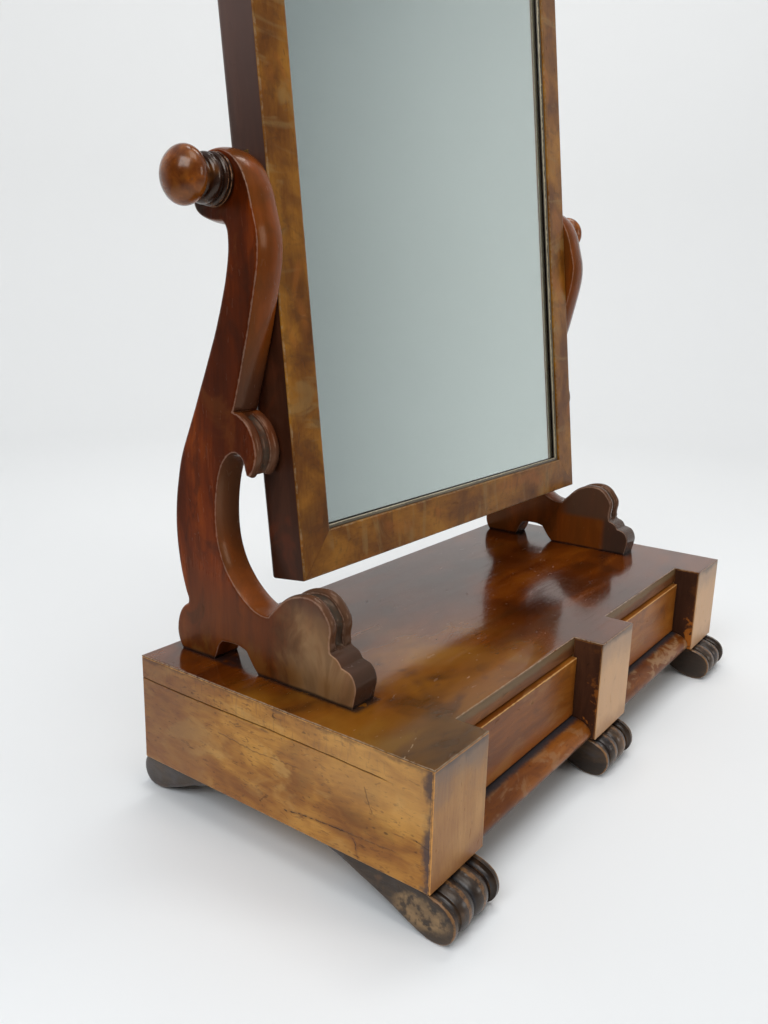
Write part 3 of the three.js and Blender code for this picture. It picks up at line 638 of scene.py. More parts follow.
def block_extra(s):
    n, P = s["n"], s["P"]
    x, y, z = n.xyz(P)
    wn = n.noise(P, 30.0, 4.0, 0.6)
    fair = n.step(x, -0.20, -0.02)                      # the middle and right blocks are paler
    s["c"] = n.mix(n.math("MULTIPLY", fair, 0.70), s["c"], (216, 172, 128))
    top = n.step(n.math("ADD", z, n.math("MULTIPLY", n.math("SUBTRACT", wn, 0.5), 0.05)), 0.098, 0.134)
    s["c"] = n.mix(n.math("MULTIPLY", top, n.mixf(fair, 0.66, 0.40)), s["c"], (100, 94, 92))
    edge = n.step(n.math("ADD", z, n.math("MULTIPLY", n.math("SUBTRACT", wn, 0.5), 0.02)), 0.1305, 0.1375)
    s["c"] = n.mix(n.math("MULTIPLY", edge, 0.6), s["c"], (64, 60, 64))
    low = n.step(n.math("ADD", z, n.math("MULTIPLY", n.math("SUBTRACT", wn, 0.5), 0.04)), 0.062, 0.040)
    s["c"] = n.mix(n.math("MULTIPLY", low, n.mixf(fair, 0.62, 0.35)), s["c"], (126, 74, 36))
    dim = n.step(n.math("ADD", x, n.math("MULTIPLY", n.math("SUBTRACT", wn, 0.5), 0.02)), -0.262, -0.255)
    s["c"] = n.mix(n.math("MULTIPLY", n.math("MULTIPLY", dim, n.step(x, -0.20, -0.25)), 0.35), s["c"], (110, 78, 50))
    streak = n.noise(n.scaled(P, (300, 300, 22)), 1.0, 3.0, 0.6)
    s["c"] = n.mix(n.math("MULTIPLY", n.step(streak, 0.55, 0.80), 0.14), s["c"], (98, 66, 42))
    scuff = n.step(n.noise(n.scaled(P, (160, 160, 70)), 1.0, 3.0, 0.6, 0.6), 0.64, 0.72)
    s["c"] = n.mix(n.math("MULTIPLY", scuff, 0.35), s["c"], (92, 58, 38))


def cheek_extra(s):
    """Inner cheeks of the blocks: almost black, partly dark wood and partly painted shade of the bays, with the polish
    rubbed through low down.
    """
    n, P = s["n"], s["P"]
    x, y, z = n.xyz(P)
    wn = n.noise(P, 75.0, 4.0, 0.65, 0.5)
    fore = n.step(y, -0.138, -0.151)
    low = n.step(z, 0.075, 0.045)
    hot = n.math("ADD", n.math("MULTIPLY", fore, 0.13), n.math("MULTIPLY", low, 0.10))
    hot = n.step(n.math("ADD", wn, hot), 0.66, 0.74)
    s["c"] = n.mix(n.math("MULTIPLY", hot, n.math("ADD", n.math("MULTIPLY", n.step(z, 0.115, 0.06), 0.75), 0.1)), s["c"], (168, 96, 34))


def rail_extra(s):
    n, P = s["n"], s["P"]
    x, y, z = n.xyz(P)
    wn = n.noise(n.scaled(P, (32, 60, 60)), 1.0, 4.0, 0.65, 0.5)
    right = n.step(x, 0.02, 0.12)
    worn = n.step(n.math("ADD", wn, n.math("MULTIPLY", right, 0.05)), 0.52, 0.62)
    s["c"] = n.mix(n.math("MULTIPLY", worn, n.mixf(right, 0.35, 0.70)), s["c"], (150, 116, 82))
    s["c"] = n.mix(n.math("MULTIPLY", n.step(wn, 0.44, 0.34), 0.5), s["c"], (78, 36, 18))
    # painted shade in the groove behind the rail and along its lower edge
    back = n.step(n.math("ADD", y, n.math("MULTIPLY", n.math("SUBTRACT", wn, 0.5), 0.008)), -0.1385, -0.1335)
    s["c"] = n.mix(n.math("MULTIPLY", back, 0.85), s["c"], (46, 46, 50))
    foot = n.step(n.math("ADD", z, n.math("MULTIPLY", n.math("SUBTRACT", wn, 0.5), 0.006)), 0.0445, 0.0415)
    s["c"] = n.mix(n.math("MULTIPLY", foot, 0.7), s["c"], (36, 26, 28))


def board_extra(s):
    """Front edge of the board under the top veneer: dusty above, brown below."""
    n, P = s["n"], s["P"]
    x, y, z = n.xyz(P)
    wn = n.noise(n.scaled(P, (30, 60, 60)), 1.0, 4.0, 0.65)
    up = n.step(n.math("ADD", z, n.math("MULTIPLY", n.math("SUBTRACT", wn, 0.5), 0.008)), 0.1285, 0.1325)
    s["c"] = n.mix(n.math("MULTIPLY", up, 0.68), s["c"], (112, 96, 68))
    s["c"] = n.mix(n.math("MULTIPLY", n.step(wn, 0.56, 0.66), 0.45), s["c"], (86, 50, 26))


def drawer_extra(s):
    n, P = s["n"], s["P"]
    x, y, z = n.xyz(P)
    wn = n.noise(n.scaled(P, (18, 40, 40)), 1.0, 4.0, 0.6, 0.6)
    s["c"] = n.mix(n.math("MULTIPLY", n.step(wn, 0.54, 0.66), 0.40), s["c"], (150, 108, 62))
    s["c"] = n.mix(n.math("MULTIPLY", n.step(wn, 0.44, 0.32), 0.40), s["c"], (84, 46, 24))
    # painted light: a warmer, lighter band low on the face, as where it turns under towards the gap
    low = n.step(n.math("ADD", z, n.math("MULTIPLY", n.math("SUBTRACT", wn, 0.5), 0.02)), 0.082, 0.060)
    s["c"] = n.mix(n.math("MULTIPLY", low, 0.38), s["c"], (156, 84, 30))


def upright_extra(s):
    n, P = s["n"], s["P"]
    x, y, z = n.xyz(P)
    wn = n.noise(P, 16.0, 3.0, 0.6)
    mot = n.noise(n.scaled(P, (30, 30, 18)), 1.0, 4.0, 0.62, 0.7)
    face = n.step(n.math("ABSOLUTE", x), 0.2938, 0.2946)      # the flat outer face
    edge = n.math("SUBTRACT", 1.0, face)
    s["c"] = n.mix(n.math("MULTIPLY", n.step(mot, 0.54, 0.68), 0.30), s["c"], (116, 62, 22))
    s["c"] = n.mix(n.math("MULTIPLY", n.step(mot, 0.47, 0.34), 0.50), s["c"], (42, 17, 7))
    # everything but the flat outer face is lighter orange: partly the warmer tone of the edges, partly painted light on
    # the front faces of the stem and the inside of the C
    s["c"] = n.mix(n.math("MULTIPLY", edge, 0.38), s["c"], (132, 76, 28))
    low = n.step(n.math("ADD", z, n.math("MULTIPLY", n.math("SUBTRACT", wn, 0.5), 0.10)), 0.250, 0.170)
    s["c"] = n.mix(n.math("MULTIPLY", n.math("MULTIPLY", low, face), 0.45), s["c"], (76, 46, 15))
    front = n.math("MULTIPLY", n.math("MULTIPLY", low, face), n.step(n.math("ADD", y, n.math("MULTIPLY", n.math("SUBTRACT", wn, 0.5), 0.10)), 0.035, -0.020))
    s["c"] = n.mix(n.math("MULTIPLY", front, n.mixf(n.step(mot, 0.38, 0.58), 0.40, 0.80)), s["c"], (156, 122, 84))
    s["c"] = n.mix(n.math("MULTIPLY", n.math("MULTIPLY", front, n.step(mot, 0.54, 0.66)), 0.50), s["c"], (96, 68, 46))
    crest = n.math("MULTIPLY", n.math("MULTIPLY", face, n.step(n.math("ADD", z, n.math("MULTIPLY", n.math("SUBTRACT", wn, 0.5), 0.05)), 0.192, 0.212)), n.step(y, 0.030, 0.0))
    s["c"] = n.mix(n.math("MULTIPLY", crest, 0.62), s["c"], (72, 50, 44))
    steps = n.math("MULTIPLY", edge, n.math("MULTIPLY", n.step(z, 0.190, 0.178), n.step(y, -0.020, -0.030)))
    s["c"] = n.mix(n.math("MULTIPLY", steps, 0.82), s["c"], (54, 46, 40))
    reeds = n.math("MULTIPLY", edge, n.math("MULTIPLY", n.step(z, 0.292, 0.306), n.math("MULTIPLY", n.step(z, 0.364, 0.358), n.step(y, 0.092, 0.078))))
    s["c"] = n.mix(n.math("MULTIPLY", reeds, 0.68), s["c"], (70, 40, 28))
    lobe = n.math("MULTIPLY", edge, n.math("MULTIPLY", n.step(z, 0.176, 0.184), n.math("MULTIPLY", n.step(z, 0.228, 0.222), n.step(y, 0.040, 0.024))))
    s["c"] = n.mix(n.math("MULTIPLY", lobe, 0.78), s["c"], (76, 58, 46))
    ledge = n.math("MULTIPLY", edge, n.math("MULTIPLY", n.step(z, 0.3615, 0.3635), n.math("MULTIPLY", n.step(z, 0.425, 0.375), n.step(y, 0.092, 0.078))))
    s["c"] = n.mix(n.math("MULTIPLY", ledge, 0.62), s["c"], (62, 46, 40))
    # painted sheen: a greyish, lighter band on the inside of the C, stronger higher up
    hollow_sheen = n.math("MULTIPLY", edge, n.math("MULTIPLY", n.step(z, 0.190, 0.205), n.math("MULTIPLY", n.step(z, 0.345, 0.325), n.step(y, 0.028, 0.040))))
    s["c"] = n.mix(n.math("MULTIPLY", n.math("MULTIPLY", hollow_sheen, n.step(y, 0.104, 0.097)), n.mixf(n.step(z, 0.235, 0.275), 0.10, 0.34)), s["c"], (104, 84, 68))
    amber = n.math("MULTIPLY", n.math("MULTIPLY", face, n.step(mot, 0.44, 0.60)), n.step(z, 0.175, 0.150))
    s["c"] = n.mix(n.math("MULTIPLY", amber, 0.50), s["c"], (122, 78, 34))
    sole = n.step(n.math("ADD", z, n.math("MULTIPLY", n.math("SUBTRACT", wn, 0.5), 0.004)), 0.1425, 0.1400)
    s["c"] = n.mix(n.math("MULTIPLY", sole, 0.85), s["c"], (24, 18, 18))
    # painted shade behind and under the knobs, on the back edge of the stems
    nook_shade = n.math("MULTIPLY", n.step(y, 0.094, 0.106), n.math("MULTIPLY", n.step(z, 0.500, 0.510), n.step(z, 0.546, 0.530)))
    s["c"] = n.mix(n.math("MULTIPLY", nook_shade, 0.85), s["c"], (34, 32, 28))
    s["rough_add"] = n.math("SUBTRACT", n.math("MULTIPLY", n.math("MULTIPLY", low, face), 0.08), n.math("MULTIPLY", edge, 0.05))


def knob_extra(s):
    n, P = s["n"], s["P"]
    x, y, z = n.xyz(P)
    ax = n.math("ABSOLUTE", x)
    inner = n.step(ax, 0.3178, 0.3140)
    s["c"] = n.mix(n.math("MULTIPLY", inner, 0.90), s["c"], (24, 15, 12))
    amber = n.step(n.noise(P, 48.0, 2.0, 0.5, 0.5), 0.52, 0.66)
    s["c"] = n.mix(n.math("MULTIPLY", amber, 0.35), s["c"], (150, 88, 30))


def frame_extra(s):
    n, P = s["n"], s["P"]
    g = n.xyz(s["G"])
    # crossbanded figure: short bright and dark bars slanting over the face
    bars = n.noise(n.scaled(s["G"], (34.0, 11.0, 11.0), rot=(0, 0, 0.55)), 1.0, 3.0, 0.6, 1.1)
    dark = n.step(bars, 0.56, 0.70)
    light = n.step(bars, 0.44, 0.32)
    s["c"] = n.mix(n.math("MULTIPLY", dark, 0.42), s["c"], (74, 44, 22))
    s["c"] = n.mix(n.math("MULTIPLY", light, 0.50), s["c"], (138, 108, 64))
    orange = n.step(n.noise(n.scaled(s["G"], (15, 26, 26), loc=(3, 1, 2)), 1.0, 2.0, 0.5, 0.5), 0.58, 0.70)
    s["c"] = n.mix(n.math("MULTIPLY", orange, 0.45), s["c"], (150, 86, 30))
    fine = n.noise(n.scaled(s["G"], (90.0, 60.0, 60.0), rot=(0, 0, 0.8)), 1.0, 3.0, 0.6, 0.8)
    s["c"] = n.mix(n.math("MULTIPLY", n.step(fine, 0.56, 0.68), 0.30), s["c"], (62, 38, 20))


def fside_extra(s):
    n, P = s["n"], s["P"]
    x, y, z = n.xyz(P)
    # painted reflection: the upper part of the edge is greyer, as the grey wall and ceiling reflected in it
    up = n.step(z, 0.45, 0.80)
    s["c"] = n.mix(n.math("MULTIPLY", up, 0.70), s["c"], (118, 98, 92))
    warm = n.math("MULTIPLY", n.step(n.noise(P, 22.0, 3.0, 0.6, 0.5), 0.54, 0.66), n.step(z, 0.50, 0.30))
    s["c"] = n.mix(n.math("MULTIPLY", warm, 0.45), s["c"], (92, 40, 18))


def foot_extra(s):
    n, P = s["n"], s["P"]
    wn = n.noise(P, 42.0, 4.0, 0.65)
    worn = n.step(wn, 0.56, 0.70)
    s["c"] = n.mix(n.math("MULTIPLY", worn, 0.42), s["c"], (112, 76, 46))
    grey = n.step(n.noise(P, 27.0, 3.0, 0.6, 0.4), 0.50, 0.66)
    s["c"] = n.mix(n.math("MULTIPLY", grey, 0.35), s["c"], (74, 74, 80))
    # the rubbed patch low on the flat outer face of the left foot
    d = n.vmath("LENGTH", n.vmath("MULTIPLY", n.vmath("SUBTRACT", P, (-0.328, -0.150, 0.018)), (1.0, 0.62, 1.25)))
    patch = n.step(n.math("ADD", d, n.math("MULTIPLY", n.math("SUBTRACT", wn, 0.5), 0.026)), 0.019, 0.008)
    patch = n.math("MULTIPLY", patch, n.step(n.noise(P, 110.0, 3.0, 0.6), 0.38, 0.56))
    s["c"] = n.mix(n.math("MULTIPLY", patch, 0.72), s["c"], (160, 126, 84))
    s["c"] = n.mix(n.math("MULTIPLY", n.step(n.noise(n.scaled(P, (60, 24, 60)), 1.0, 3.0), 0.52, 0.64), 0.35), s["c"], (40, 26, 20))


M_SIDE = wood("mahogany_side", [(0.0, (104, 62, 32)), (0.35, (134, 88, 44)), (0.65, (154, 108, 56)), (1.0, (176, 130, 72))],
              figure=(8.0, 26.0, 26.0), figure_mix=0.46, blotch=14.0, blotch_mix=0.40, mottle=0.34, mottle_scale=(34, 85, 85), fleck=0.75, rough=(0.30, 0.48), coat=0.06,
              coat_rough=0.2, ripple=0.14, spec=0.3, gain=(1.35, 1.25, 0.80), wear_col=(214, 156, 90), extra=side_extra, tint=(1.0, 0.82, 0.6))
M_BLOCK = wood("mahogany_block", [(0.0, (132, 92, 54)), (0.4, (152, 110, 68)), (0.7, (166, 126, 82)), (1.0, (180, 142, 98))],
               figure=(5.0, 40.0, 40.0), figure_mix=0.4, blotch_mix=0.42, fleck=0.25, rough=(0.34, 0.50), coat=0.06, coat_rough=0.2, ripple=0.1,
               spec=0.35, gain=(1.092, 0.958, 0.688), wear_col=(214, 150, 80), extra=block_extra, tint=(1.0, 0.85, 0.7))
# near-black cheeks: dark wood with the shade of the bays painted in
M_CHEEK = wood("mahogany_cheek", [(0.0, (46, 26, 18)), (0.5, (62, 36, 24)), (1.0, (84, 50, 32))],
               figure=(5.0, 40.0, 40.0), fleck=0.3, fleck_col=(14, 9, 8), rough=(0.36, 0.52), coat=0.0, ripple=0.1, spec=0.2,
               wear_col=(176, 112, 52), wear_amount=0.35, extra=cheek_extra, tint=(1.0, 0.7, 0.5))
M_TOP = wood("mahogany_top", [(0.0, (50, 20, 8)), (0.4, (76, 34, 11)), (0.7, (100, 50, 16)), (1.0, (122, 68, 22))],
             figure=(3.0, 26.0, 26.0), figure_mix=0.5, blotch_mix=0.38, fleck=0.25, fleck_col=(30, 14, 8), rough=(0.08, 0.16), coat=0.08,
             coat_rough=0.04, bump=0.08, ripple=0.10, spec=0.46, gain=(1.0, 0.86, 0.36), wear_col=(150, 126, 100), extra=top_extra,
             tint=(1.0, 0.80, 0.62))
M_DRAWER = wood("mahogany_drawer", [(0.0, (90, 48, 24)), (0.4, (120, 72, 38)), (0.7, (138, 88, 50)), (1.0, (158, 106, 64))],
                figure=(4.0, 40.0, 40.0), fleck=0.4, rough=(0.26, 0.40), coat=0.05, coat_rough=0.14, ripple=0.1, spec=0.18, gain=(1.08, 0.90, 0.34),
                wear_col=(206, 160, 100), wear_amount=0.7, extra=drawer_extra, tint=(1.0, 0.75, 0.5))
# its dark colour paints the shade in the groove by the drawer and under the nose
M_RAIL = wood("mahogany_rail", [(0.0, (86, 40, 16)), (0.4, (112, 58, 24)), (0.7, (134, 74, 34)), (1.0, (158, 94, 48))],
              figure=(4.0, 40.0, 40.0), fleck=0.5, rough=(0.28, 0.44), coat=0.05, coat_rough=0.16, spec=0.22, gain=(1.0, 1.04, 0.6),
              wear_col=(200, 160, 110), wear_amount=0.6, dirt_col=(44, 42, 46), extra=rail_extra, tint=(1.0, 0.8, 0.6))
M_BOARD = wood("board_edge", [(0.0, (84, 46, 22)), (0.5, (120, 72, 34)), (1.0, (150, 96, 50))], coords="object", figure=(4.0, 60.0, 60.0),
               fleck=0.35, rough=(0.4, 0.6), coat=0.0, bump=0.3, spec=0.3, extra=board_extra)
M_DARK = wood("mahogany_dark", [(0.0, (38, 13, 4)), (0.4, (62, 25, 8)), (0.7, (84, 38, 12)), (1.0, (108, 54, 20))],
              figure=(4.0, 34.0, 34.0), fleck=0.22, rough=(0.20, 0.32), coat=0.04, coat_rough=0.08, bump=0.15, spec=0.27, gain=(1.75, 1.20, 0.32),
              wear_col=(176, 140, 118), wear_amount=0.36, dirt_col=(52, 54, 48), extra=upright_extra, tint=(1.0, 0.58, 0.36))
M_KNOB = wood("mahogany_knob", [(0.0, (64, 28, 8)), (0.4, (96, 48, 16)), (0.7, (122, 66, 24)), (1.0, (146, 86, 34))],
              figure=(16.0, 70.0, 70.0), fleck=0.3, rough=(0.18, 0.30), coat=0.30, coat_rough=0.12, bump=0.12, spec=0.3, gain=(1.5, 1.45, 0.95),
              wear_col=(196, 140, 100), wear_amount=0.55, dirt_col=(30, 22, 20), extra=knob_extra)
M_FRAME = wood("frame_veneer", [(0.0, (64, 34, 14)), (0.35, (88, 54, 24)), (0.65, (108, 72, 32)), (1.0, (128, 90, 44))],
               figure=(18.0, 24.0, 24.0), fleck=0.35, rough=(0.26, 0.38), coat=0.06, coat_rough=0.14, bump=0.15, spec=0.2, gain=(1.62, 1.42, 0.66),
               wear_col=(150, 128, 98), wear_amount=0.5, extra=frame_extra, tint=(1.0, 0.78, 0.5))
M_SLIP = wood("slip_moulding", [(0.0, (56, 52, 42)), (0.5, (78, 72, 58)), (1.0, (104, 96, 76))],
              figure=(6.0, 60.0, 60.0), fleck=0.3, fleck_col=(24, 20, 16), rough=(0.22, 0.36), coat=0.15, coat_rough=0.1, bump=0.2, spec=0.5,
              wear_col=(206, 190, 158), wear_amount=0.75)
M_FSIDE = wood("frame_edge", [(0.0, (40, 18, 9)), (0.5, (56, 28, 16)), (1.0, (76, 42, 26))],
               figure=(4.0, 60.0, 60.0), fleck=0.3, rough=(0.26, 0.40), coat=0.06, coat_rough=0.12, bump=0.15, spec=0.3,
               wear_col=(176, 150, 128), wear_amount=0.45, extra=fside_extra, tint=(1.0, 0.7, 0.55))
M_FOOT = wood("feet_wood", [(0.0, (26, 18, 14)), (0.4, (44, 32, 24)), (0.7, (62, 46, 32)), (1.0, (90, 64, 40))],
              figure=(8.0, 50.0, 50.0), fleck=0.4, fleck_col=(18, 13, 11), rough=(0.26, 0.44), coat=0.2, coat_rough=0.16, spec=0.4,
              bump=0.4, wear_col=(168, 116, 62), wear_amount=0.46, dirt_col=(34, 36, 42), extra=foot_extra, tint=(1.0, 0.9, 0.8))
PINE = [(0.0, (128, 92, 56)), (0.4, (158, 120, 76)), (0.7, (178, 142, 96)), (1.0, (194, 160, 114))]
M_PINE_X = wood("pine_x", PINE, coords="object", object_scale=(1, 1, 1), figure=(3.0, 60.0, 60.0), fleck=0.15,
                fleck_col=(92, 60, 36), rough=(0.6, 0.8), coat=0.0, bump=0.35)
M_PINE_Y = wood("pine_y", PINE, coords="gco", figure=(3.0, 60.0, 60.0), fleck=0.15,
                fleck_col=(92, 60, 36), rough=(0.6, 0.8), coat=0.0, bump=0.35)


def metal(name, base, dark, rough, metallic=1.0):
    n = Tree(name)
    P = n.object_co()
    a = n.noise(P, 130.0, 5.0, 0.65)
    b = n.noise(P, 900.0, 3.0, 0.6)
    n.put(n.bsdf.inputs["Base Color"], n.mix(n.step(a, 0.42, 0.66), base, dark))
    n.put(n.bsdf.inputs["Roughness"], n.mixf(a, rough[0], rough[1]))
    n.bsdf.inputs["Metallic"].default_value = metallic
    bp = n.new("ShaderNodeBump")
    bp.inputs["Strength"].default_value = 0.25
    bp.inputs["Distance"].default_value = 0.0004
    n.put(bp.inputs["Height"], b)
    n.put(n.bsdf.inputs["Normal"], bp.outputs[0])
    return n.mat


M_BRASS = metal("brass_aged", (168, 132, 70), (92, 66, 36), (0.28, 0.5))
M_STEEL = metal("steel_old", (120, 116, 112), (66, 56, 50), (0.3, 0.55))


def silver_material():
    n = Tree("silvered_back")
    P = n.object_co()
    cloud = n.noise(P, 5.0, 4.0, 0.6)
    spots = n.step(n.noise(P, 240.0, 2.0, 0.5), 0.735, 0.79)
    edge = n.attr("dirt")
    c = n.mix(cloud, (218, 224, 222), (224, 230, 228))
    foxing = n.step(n.math("ADD", edge, n.math("MULTIPLY", n.math("SUBTRACT", n.noise(P, 90.0, 4.0, 0.7), 0.5), 1.1)), 0.72, 1.02)
    c = n.mix(n.math("MULTIPLY", foxing, 0.75), c, (92, 88, 78))
    c = n.mix(n.math("MULTIPLY", spots, 0.35), c, (130, 132, 126))
    n.put(n.bsdf.inputs["Base Color"], c)
    n.bsdf.inputs["Metallic"].default_value = 1.0
    n.put(n.bsdf.inputs["Roughness"], n.math("ADD", n.math("MULTIPLY", n.math("ADD", spots, foxing), 0.2), 0.015))
    bp = n.new("ShaderNodeBump")
    bp.inputs["Strength"].default_value = 0.03
    bp.inputs["Distance"].default_value = 0.002
    n.put(bp.inputs["Height"], n.noise(P, 9.0, 1.0, 0.5))
    n.put(n.bsdf.inputs["Normal"], bp.outputs[0])
    return n.mat


M_SILVER = silver_material()


def glass_material():
    n = Tree("plate_glass")
    P = n.object_co()
    n.bsdf.inputs["Base Color"].default_value = col((250, 254, 252))
    n.bsdf.inputs["Transmission Weight"].default_value = 1.0
    n.bsdf.inputs["IOR"].default_value = 1.5
    n.put(n.bsdf.inputs["Roughness"], n.math("MULTIPLY", n.step(n.noise(P, 14.0, 4.0, 0.7), 0.55, 0.85), 0.02))
    return n.mat


M_GLASS = glass_material()

# ============================================================================
# base
# ============================================================================
# top veneer
outline = np.array([
    [-HW, -HD], [-B0, -HD], [-B0, BAY_Y], [-C0, BAY_Y], [-C0, -HD], [C0, -HD],
    [C0, BAY_Y], [B0, BAY_Y], [B0, -HD], [HW, -HD], [HW, HD], [-HW, HD]], float)
if area2(outline) < 0:
    outline = outline[::-1].copy()
dense = []
for a, b in zip(outline, np.roll(outline, -1, 0)):
    k = max(1, int(np.linalg.norm(b - a) / 9))
    dense += [a + (b - a) * q / k for q in range(k)]
dense = np.array(dense)
jag = np.array([mnoise.noise(Vector((p[0] / 17, p[1] / 17, 0.3))) for p in dense])
chip = 0.35 + 0.25 * jag
top_stations = [(TOP_Z - VENEER, 3.0, 0, 0), (TOP_Z - VENEER, 0.05, 0.3, 0), (TOP_Z - 0.8, 0.0, 0.6, 0), (TOP_Z - 0.35, 0.12 + 0.2 * chip, 0.75, 0),
                (TOP_Z - 0.08, 0.35 + 0.5 * chip, 0.65, 0), (TOP_Z, 0.9 + 0.6 * chip, 0.2, 0), (TOP_Z, 3.0, 0, 0)]
loft("top_veneer_piece", dense, top_stations, lambda a, b, t: np.stack([a, b, t], 1), M_TOP, "base",
     ["top_veneer"], grain=along("x"), seed=1.3)

# sides, the left one with its long shrinkage crack
CRACK_Y = [157.2, 81.5, 8.5, -62.8, -122.0]
CRACK_Z = [117.4, 116.5, 117.4, 117.0, 115.6]
CRACK_ROWS = [-6, -3.6, -2.2, -1.3, -0.75, -0.4, 0.0, 0.4, 0.75, 1.3, 2.2, 3.6, 6]


def crack_shape(outer_x, sign, strength):
    def f(V, info):
        P = info["P"]
        face = np.abs(P[:, 0] - outer_x) < 1e-6
        yy = P[:, 1]
        path = np.interp(yy, CRACK_Y[::-1], CRACK_Z[::-1]) - 117.0
        path += 0.35 * np.array([mnoise.noise(Vector((y / 7.0, 4.1, 0.0))) for y in yy]) + 0.5 * np.array(
            [mnoise.noise(Vector((y / 31.0, 9.1, 0.0))) for y in yy])
        dz = P[:, 2] - 117.0
        near = clip01(1 - np.abs(dz) / 9.0)
        V = V.copy()
        V[:, 2] += face * path * near
        live = ease((yy + 124) / 18.0)
        # a finer stretch in the middle of its run
        vary = 0.78 + 0.62 * np.array([mnoise.noise(Vector((y / 23.0, 2.2, 0.0))) for y in yy]) + 0.22 * clip01(1 - np.abs(yy - 10) / 70)
        depth = strength * live * vary * clip01(1 - np.abs(dz) / 0.62)
        lip = 0.16 * strength * live * clip01(1 - np.abs(np.abs(dz) - 1.2) / 1.0) * (0.6 + hash3(P, 9.0, 2.0))
        V[:, 0] += face * -sign * (depth * 1.6 - lip * 0.8)
        info["crack"] = np.where(face, clip01(1.15 * clip01(1 - np.abs(dz) / 0.62) * live * vary * (strength > 0)), 0)
        lipw = live * clip01(1 - np.abs(np.abs(dz) - 1.15) / 0.9) * 0.62 * clip01(0.6 + 1.2 * hash3(P, 6.0, 5.0))
        info["wear"] = np.maximum(info["wear"], np.where(face & (strength > 0), lipw, 0))
        bow = hash3(P, 70.0, 11.0) * 0.25 * clip01((P[:, 2] - FOOT_H - 3) / 8) * clip01((CARCASE_TOP - 3 - P[:, 2]) / 8)
        V[:, 0] += face * -sign * np.abs(bow)
        return V
    return f


for side, s in (("left", -1), ("right", 1)):
    xa, xb = sorted((s * HW, s * (HW - SIDE_T)))
    rbox(f"side_{side}_piece", xa, xb, -HD + VENEER + GAP, HD, FOOT_H, CARCASE_TOP, M_SIDE, "base",
         [f"side_board_{side}"], r=0.7, step=(12, 3.0, 4.0), grain=along("y"), seed=2.1 if s < 0 else 5.7,
         shape=crack_shape(s * HW, s, 1.0 if s < 0 else 0.0), extra=((), (), [117 + d for d in CRACK_ROWS] if s < 0 else ()),
         wear_scale=0.8)

# front blocks and the veneers on their faces
BLOCKS = [("left", -HW, -B0, -HW + SIDE_T + GAP, -B0), ("centre", -C0, C0, -C0, C0), ("right", B0, HW, B0, HW - SIDE_T - GAP)]
for q, (name, vx0, vx1, bx0, bx1) in enumerate(BLOCKS):
    rbox(f"block_{name}_piece", bx0, bx1, -HD + VENEER + GAP, BAY_Y - GAP, FOOT_H, CARCASE_TOP, M_CHEEK,
         "base", [f"front_block_{name}"], r=0.5, step=(12, 8, 12), grain=along("z"), seed=3.3 + q)
    rbox(f"block_veneer_{name}_piece", vx0, vx1, -HD, -HD + VENEER, FOOT_H, CARCASE_TOP, M_BLOCK, "base",
         [f"block_veneer_{name}"], r=0.55, step=(6, 5, 6), grain=along("z"), seed=4.4 + q, wear_scale=0.95 if name == "left" else 0.5)

# lower rails
RAIL_SWEEP_Y, RAIL_SWEEP_Z = DRAWER_FACE_Y + 1.5, FOOT_H + 4
rail = [[BAY_Y - GAP, FOOT_H], [BAY_Y - GAP, FOOT_H + BOTTOM_T]]
for i in range(25):
    a = math.radians(90 + 90 * i / 24)
    rail.append([RAIL_SWEEP_Y + (RAIL_SWEEP_Y - NOSE_Y) * math.cos(a), RAIL_SWEEP_Z + (BOTTOM_T - 4) * math.sin(a)])
rail += [[NOSE_Y + 0.15, FOOT_H + 2.6], [NOSE_Y + 0.6, FOOT_H + 1.5], [NOSE_Y + 1.3, FOOT_H + 0.75], [NOSE_Y + 2.4, FOOT_H + 0.2], [NOSE_Y + 4, FOOT_H]]
rail = np.array(rail)
if area2(rail) < 0:
    rail = rail[::-1].copy()
edge_wear = clip01(1 - np.abs(rail[:, 1] - (FOOT_H + 1.6)) / 2.2) * (rail[:, 0] < NOSE_Y + 5) * 0.55
# painted shade: darker along the rail's lower front edge and on its top next to the drawer, where the gap is
under_edge_shade = clip01(1 - (rail[:, 1] - FOOT_H) / 1.2) * (rail[:, 0] < NOSE_Y + 6)
top_gap_shade = clip01((rail[:, 1] - (FOOT_H + BOTTOM_T - 2.2)) / 2.0) * 0.9
for side, x0, x1 in (("left", -B0 + GAP, -C0 - GAP), ("right", C0 + GAP, B0 - GAP)):
    ts = np.linspace(x0 + 0.6, x1 - 0.6, 30)
    st = [(x0, 0.5, 0.2, top_gap_shade + under_edge_shade)] + [
        (t, 0.12 * (1 + mnoise.noise(Vector((t / 21, 3.3, 0)))), edge_wear, top_gap_shade + under_edge_shade) for t in ts] + [(x1, 0.5, 0.2, top_gap_shade + under_edge_shade)]
    loft(f"rail_{side}_piece", rail, st, lambda a, b, t: np.stack([t, a, b], 1), M_RAIL, "base",
         [f"lower_rail_{side}"], grain=along("x"), seed=6.1 if side == "left" else 7.9)

